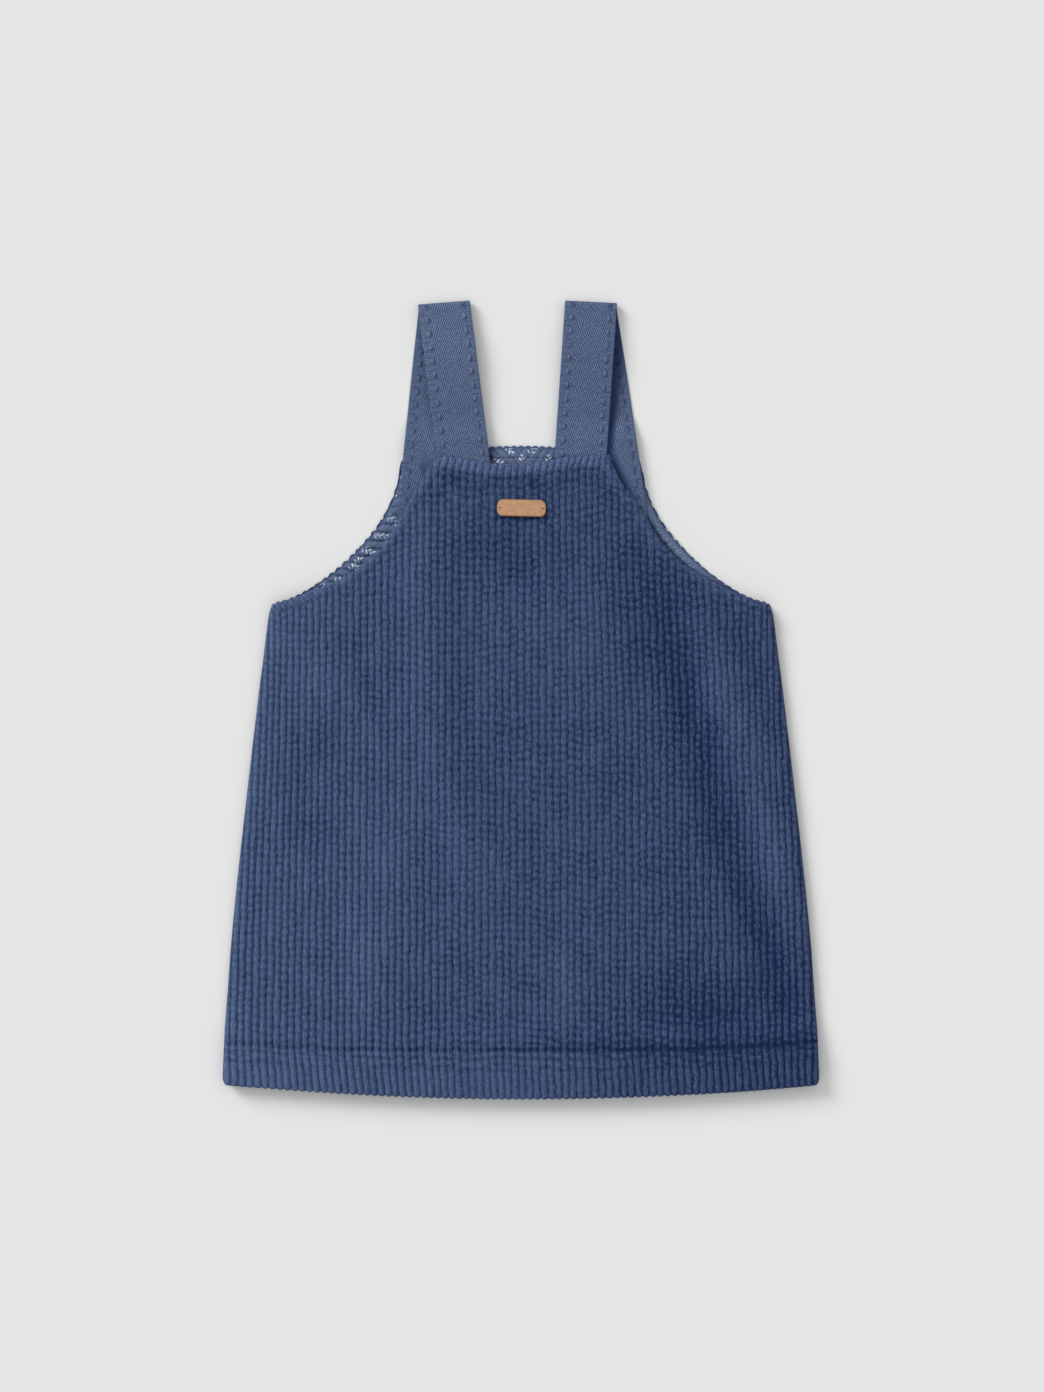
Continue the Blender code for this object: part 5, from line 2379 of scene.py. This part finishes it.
            # Painted shadow at the left strap's corner by the bib.
            return 0.6 * bell(x + 56.8, 2.6) * bell(y - 370.0, 5.0)
        fold = self._fold()
        run = fold - np.array([self.where.front_end_x, self.front_end])
        line = self.where.front_end_x + run[0] * (y - self.front_end) / run[1]
        near_fold = smoothstep(y, fold[1] - 55.0, fold[1] - 15.0)
        low = 1 - smoothstep(y, 385.0, 425.0)
        # Painted shade on the right strap's back half beside the front half.
        lit = smoothstep(x - line - self.width / 2, 2.0, 8.0 - 2.5 * low) * (1 - 0.6 * near_fold)
        far = self.dress.front_edge.distance(x, y)
        # Painted shadow beside the bib's edge.
        beside_bib = 0.95 * bell(far, 3.4) * smoothstep(y, 346.0, 366.0)
        return np.maximum((1 - lit) * (0.84 + 0.12 * low), beside_bib)

    def stitch_paths(self) -> tuple[list[Array], list[float]]:
        """Lays short paths for the raised stitches along both edges, on the faces that lie up.

        Returns:
            The paths, and how far each lies in the front half's shade.
        """
        stations = self.stations()
        places = np.array([station[:3] for station in stations])
        along = np.concatenate([[0.0], np.cumsum(np.linalg.norm(np.diff(places, axis=0), axis=1))])
        offset = self.width / 2 - self.stitch_in
        paths, shades = [], []
        for far in np.arange(TUFT_FIRST, along[-1] - 18.0, TUFT_PITCH):
            index = int(np.searchsorted(along, far))
            tilt, angle = stations[index][3:]
            if angle not in (0.0, math.pi):
                continue
            place = np.array([np.interp(far, along, places[:, axis]) for axis in range(3)])
            place[2] += self.dress.shape.tape * 0.40
            across, _ = self.axes(tilt, 0.0)
            up = np.array([-across[1], across[0], 0.0]) * self.tuft_half
            for side in (-offset, offset):
                centre = place + across * side
                paths.append(np.array([centre - up, centre + up]))
                # The back half's raised stitches carry more painted shade.
                shade = float(self.shade(centre[None], angle)[0]) + 0.3 * (angle == math.pi)
                shades.append(min(shade, 1.0))
        return paths, shades


@dataclass
class LeatherTab:
    """The bare leather tab on the bib."""

    dress: Dress
    front: FrontPanel
    long: float = 28.8
    wide: float = 10.0
    thick: float = 1.5
    x: float = 0.3
    y: float = 346.8
    corner: float = 3.6
    tilt: float = -1.2
    arch: float = 0.35

    def outline(self, shrink: float, count: int = 9) -> Array:
        """Draws the tab's outline, with its round corners.

        Args:
            shrink: How far the outline is drawn in.
            count: How many points each corner has.

        Returns:
            The outline's x and y, a row for each point.
        """
        found = []
        for quarter, (sx, sy) in enumerate(((1, 1), (-1, 1), (-1, -1), (1, -1))):
            for step in np.linspace(0, 90, count):
                angle = math.radians(90 * quarter + step)
                radius = max(0.02, self.corner - shrink)
                inner = max(0.0, shrink - self.corner)
                cx = sx * (self.long / 2 - self.corner - inner)
                cy = sy * (self.wide / 2 - self.corner - inner)
                found.append((cx + radius * math.cos(angle), cy + radius * math.sin(angle)))
        return np.array(found)

    def warp(self, ring: Array) -> Array:
        """Lays a ring on the bib, a little tilted and arched.

        Args:
            ring: The ring's x and y from the tab's middle, a row for each point.

        Returns:
            Its x and y on the dress.
        """
        x, y = ring.T
        slope = math.tan(math.radians(self.tilt))
        arch = self.arch * (np.cos(np.pi * x / self.long) - 0.5)
        return np.stack([x + self.x - slope * y, y + self.y + slope * x + arch], axis=1)

    def base(self) -> float:
        """The bib's height under the middle of the tab."""
        return float(self.front.surface(np.array([self.x]), np.array([self.y]))[0])

    def bow(self, x: Array, y: Array) -> Array:
        """How the tab bows up a little along its lower edge and between its stitches."""
        return 0.45 * np.cos(np.pi * x / self.long) + 0.2 * (0.5 - y / self.wide)

    def build(self) -> Item:
        """Makes the tab, of rings from under it round its edge to its face.

        Returns:
            The piece.
        """
        base = self.base() + 0.12
        profile = [(4.6, 0.0), (0.5, 0.0), (0.15, 0.12), (0.0, 0.4), (0.0, self.thick - 0.5)]
        profile += [(0.12, self.thick - 0.18), (0.4, self.thick - 0.03), (0.9, self.thick)]
        profile += [(1.6, self.thick), (2.8, self.thick), (4.6, self.thick)]
        points, edge = [], []
        for shrink, up in profile:
            ring = self.outline(shrink)
            z = base + up + self.bow(ring[:, 0], ring[:, 1])
            points.append(np.column_stack([self.warp(ring), z]))
            edge += [bell(shrink, 0.55)] * len(ring)
        faces = stack_faces(len(profile), len(points[0]))
        values = {"edge": np.array(edge)}
        piece = make_mesh("leather_tab", np.vstack(points), faces, self.dress.placing, None, values)
        piece.data.materials.append(self.dress.leather)
        self.dress.ride(piece, Slot.LEATHER, "label")
        return piece

    def stitch_paths(self) -> list[Array]:
        """Lays one short stitch over each end of the tab.

        Returns:
            The paths.
        """
        rise = self.base() + self.thick + 0.12
        paths = []
        for side in (-1, 1):
            ends = np.array([(side * (self.long / 2 + out), 0.0) for out in (-1.3, 0.7)])
            paths.append(np.column_stack([self.warp(ends), (rise, rise - 0.3)]))
        return paths


# --- studio ---


@dataclass
class Studio:
    """The pale surface, the soft light from the upper left and the camera overhead."""

    floor_half: float = 4.0
    view_height: float = 818.5
    view_x: float = 0.6
    view_y: float = 2.1
    distance: float = 2600.0
    sun_strength: float = 2.00
    sun_angle: float = 28.0
    sun_elevation: float = 30.5
    sun_from: float = 139.0
    sky: float = 0.20
    sky_overhead: float = 0.93

    def floor(self) -> None:
        """Lays the surface."""
        half = self.floor_half
        mesh = bpy.data.meshes.new("floor")
        corners = [(-half, -half, 0.0), (half, -half, 0.0), (half, half, 0.0), (-half, half, 0.0)]
        mesh.from_pydata(corners, [], [(0, 1, 2, 3)])
        mesh.materials.append(FloorFinish().material())
        show("floor", mesh)

    def light(self) -> None:
        """Hangs the key light and sets the sky."""
        data = bpy.data.lights.new("key", "SUN")
        data.energy = self.sun_strength
        data.angle = math.radians(self.sun_angle)
        item = show("key", data)
        azimuth, elevation = math.radians(self.sun_from), math.radians(self.sun_elevation)
        level = math.cos(elevation)
        towards = Vector((math.cos(azimuth) * level, math.sin(azimuth) * level, math.sin(elevation)))
        item.rotation_mode = "QUATERNION"
        item.rotation_quaternion = towards.to_track_quat("Z", "Y")
        world = bpy.data.worlds.new("sky")
        world.use_nodes = True
        nodes = Nodes(world.node_tree)
        outwards = nodes.add("ShaderNodeTexCoord").outputs["Generated"]
        up = nodes.math("MAXIMUM", nodes.parts(outwards)["Z"], 0.0)
        strength = nodes.line(nodes.times(up, up), self.sky_overhead, self.sky)
        background = world.node_tree.nodes["Background"]
        background.inputs["Color"].default_value = (1.0, 1.0, 1.0, 1.0)
        nodes.feed(background.inputs["Strength"], strength)
        bpy.context.scene.world = world

    def camera(self) -> None:
        """Hangs the camera straight over the dress."""
        data = bpy.data.cameras.new("camera")
        data.sensor_width = 36.0
        data.lens = data.sensor_width * self.distance / self.view_height
        data.clip_end = 100.0
        item = show("camera", data)
        item.location = (self.view_x * MM, self.view_y * MM, self.distance * MM)
        bpy.context.scene.camera = item
        bpy.context.scene.view_settings.view_transform = "Standard"

    def build(self) -> None:
        """Sets up all of it."""
        self.floor()
        self.light()
        self.camera()


def main() -> None:
    """Builds the dress on its frame, piece by piece."""
    logging.basicConfig(level=logging.INFO, format="%(message)s")
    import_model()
    Studio().build()
    shape = DressShape()
    dress = Dress(
        shape=shape,
        placing=Placing(shape.length / 2),
        pile=Pile(),
        corduroy=CorduroyFinish().material(),
        cotton=CottonFinish().material(),
        tape=TwillFinish().material(),
        leather=LeatherFinish().material(),
        thread=ThreadFinish("thread", (0.026, 0.044, 0.110)).material(),
        hem_thread=ThreadFinish("hem_thread", (0.062, 0.094, 0.190)).material(),
        # The raised stitches' thread is lighter than the tape: painted highlight on their tops.
        tufts=ThreadFinish("tape_tufts", (0.118, 0.157, 0.262)).material(),
        front_edge=shape.outline(FRONT_ARMHOLE, FRONT_NECK, shape.left_armhole_in),
        back_edge=shape.outline(BACK_ARMHOLE, BACK_NECK),
    )

    back = BackPanel(dress, dress.back_edge, short=1.0)
    back_piece = back.build()
    LOG.info("back: %d faces", len(back_piece.data.polygons))
    facing = BackFacing(dress)
    facing_piece = facing.build()
    facing_stitches = StitchRun("facing_stitches", facing.stitch_paths(), 2.9, 2.3, 0.45, 0.4)
    facing_stitches_piece = facing_stitches.build(dress, dress.thread, Slot.COTTON)
    LOG.info("facing: %d faces", len(facing_piece.data.polygons))
    front = FrontPanel(dress, dress.front_edge)
    front_piece = front.build()
    topstitches = StitchRun("topstitches", front.stitch_paths(), 3.1, 2.3, 0.5, 0.45)
    topstitches_piece = topstitches.build(dress, dress.thread, Slot.CORDUROY)
    hem_stitches = StitchRun("hem_stitches", front.hem_paths(), 2.4, 1.4, 0.45, 0.45, 0.3)
    hem_stitches_piece = hem_stitches.build(dress, dress.hem_thread, Slot.CORDUROY)
    LOG.info("front: %d faces", len(front_piece.data.polygons))
    for where in STRAPS:
        strap = Strap(dress, where)
        piece = strap.build()
        paths, shades = strap.stitch_paths()
        run = StitchRun(where.node + "_stitches", paths, 1.0, 2.3, 1.9, 1.3, 0.30, shades)
        stitched = run.build(dress, dress.tufts, Slot.TAPE)
        LOG.info("%s: %d faces", where.node, len(piece.data.polygons))
    tab = LeatherTab(dress, front)
    tab.build()
    tab_stitches = StitchRun("tab_stitches", tab.stitch_paths(), 2.2, 2.4, 0.7, 0.5)
    tab_stitches.build(dress, dress.thread, Slot.LEATHER)


if __name__ == "__main__":
    main()
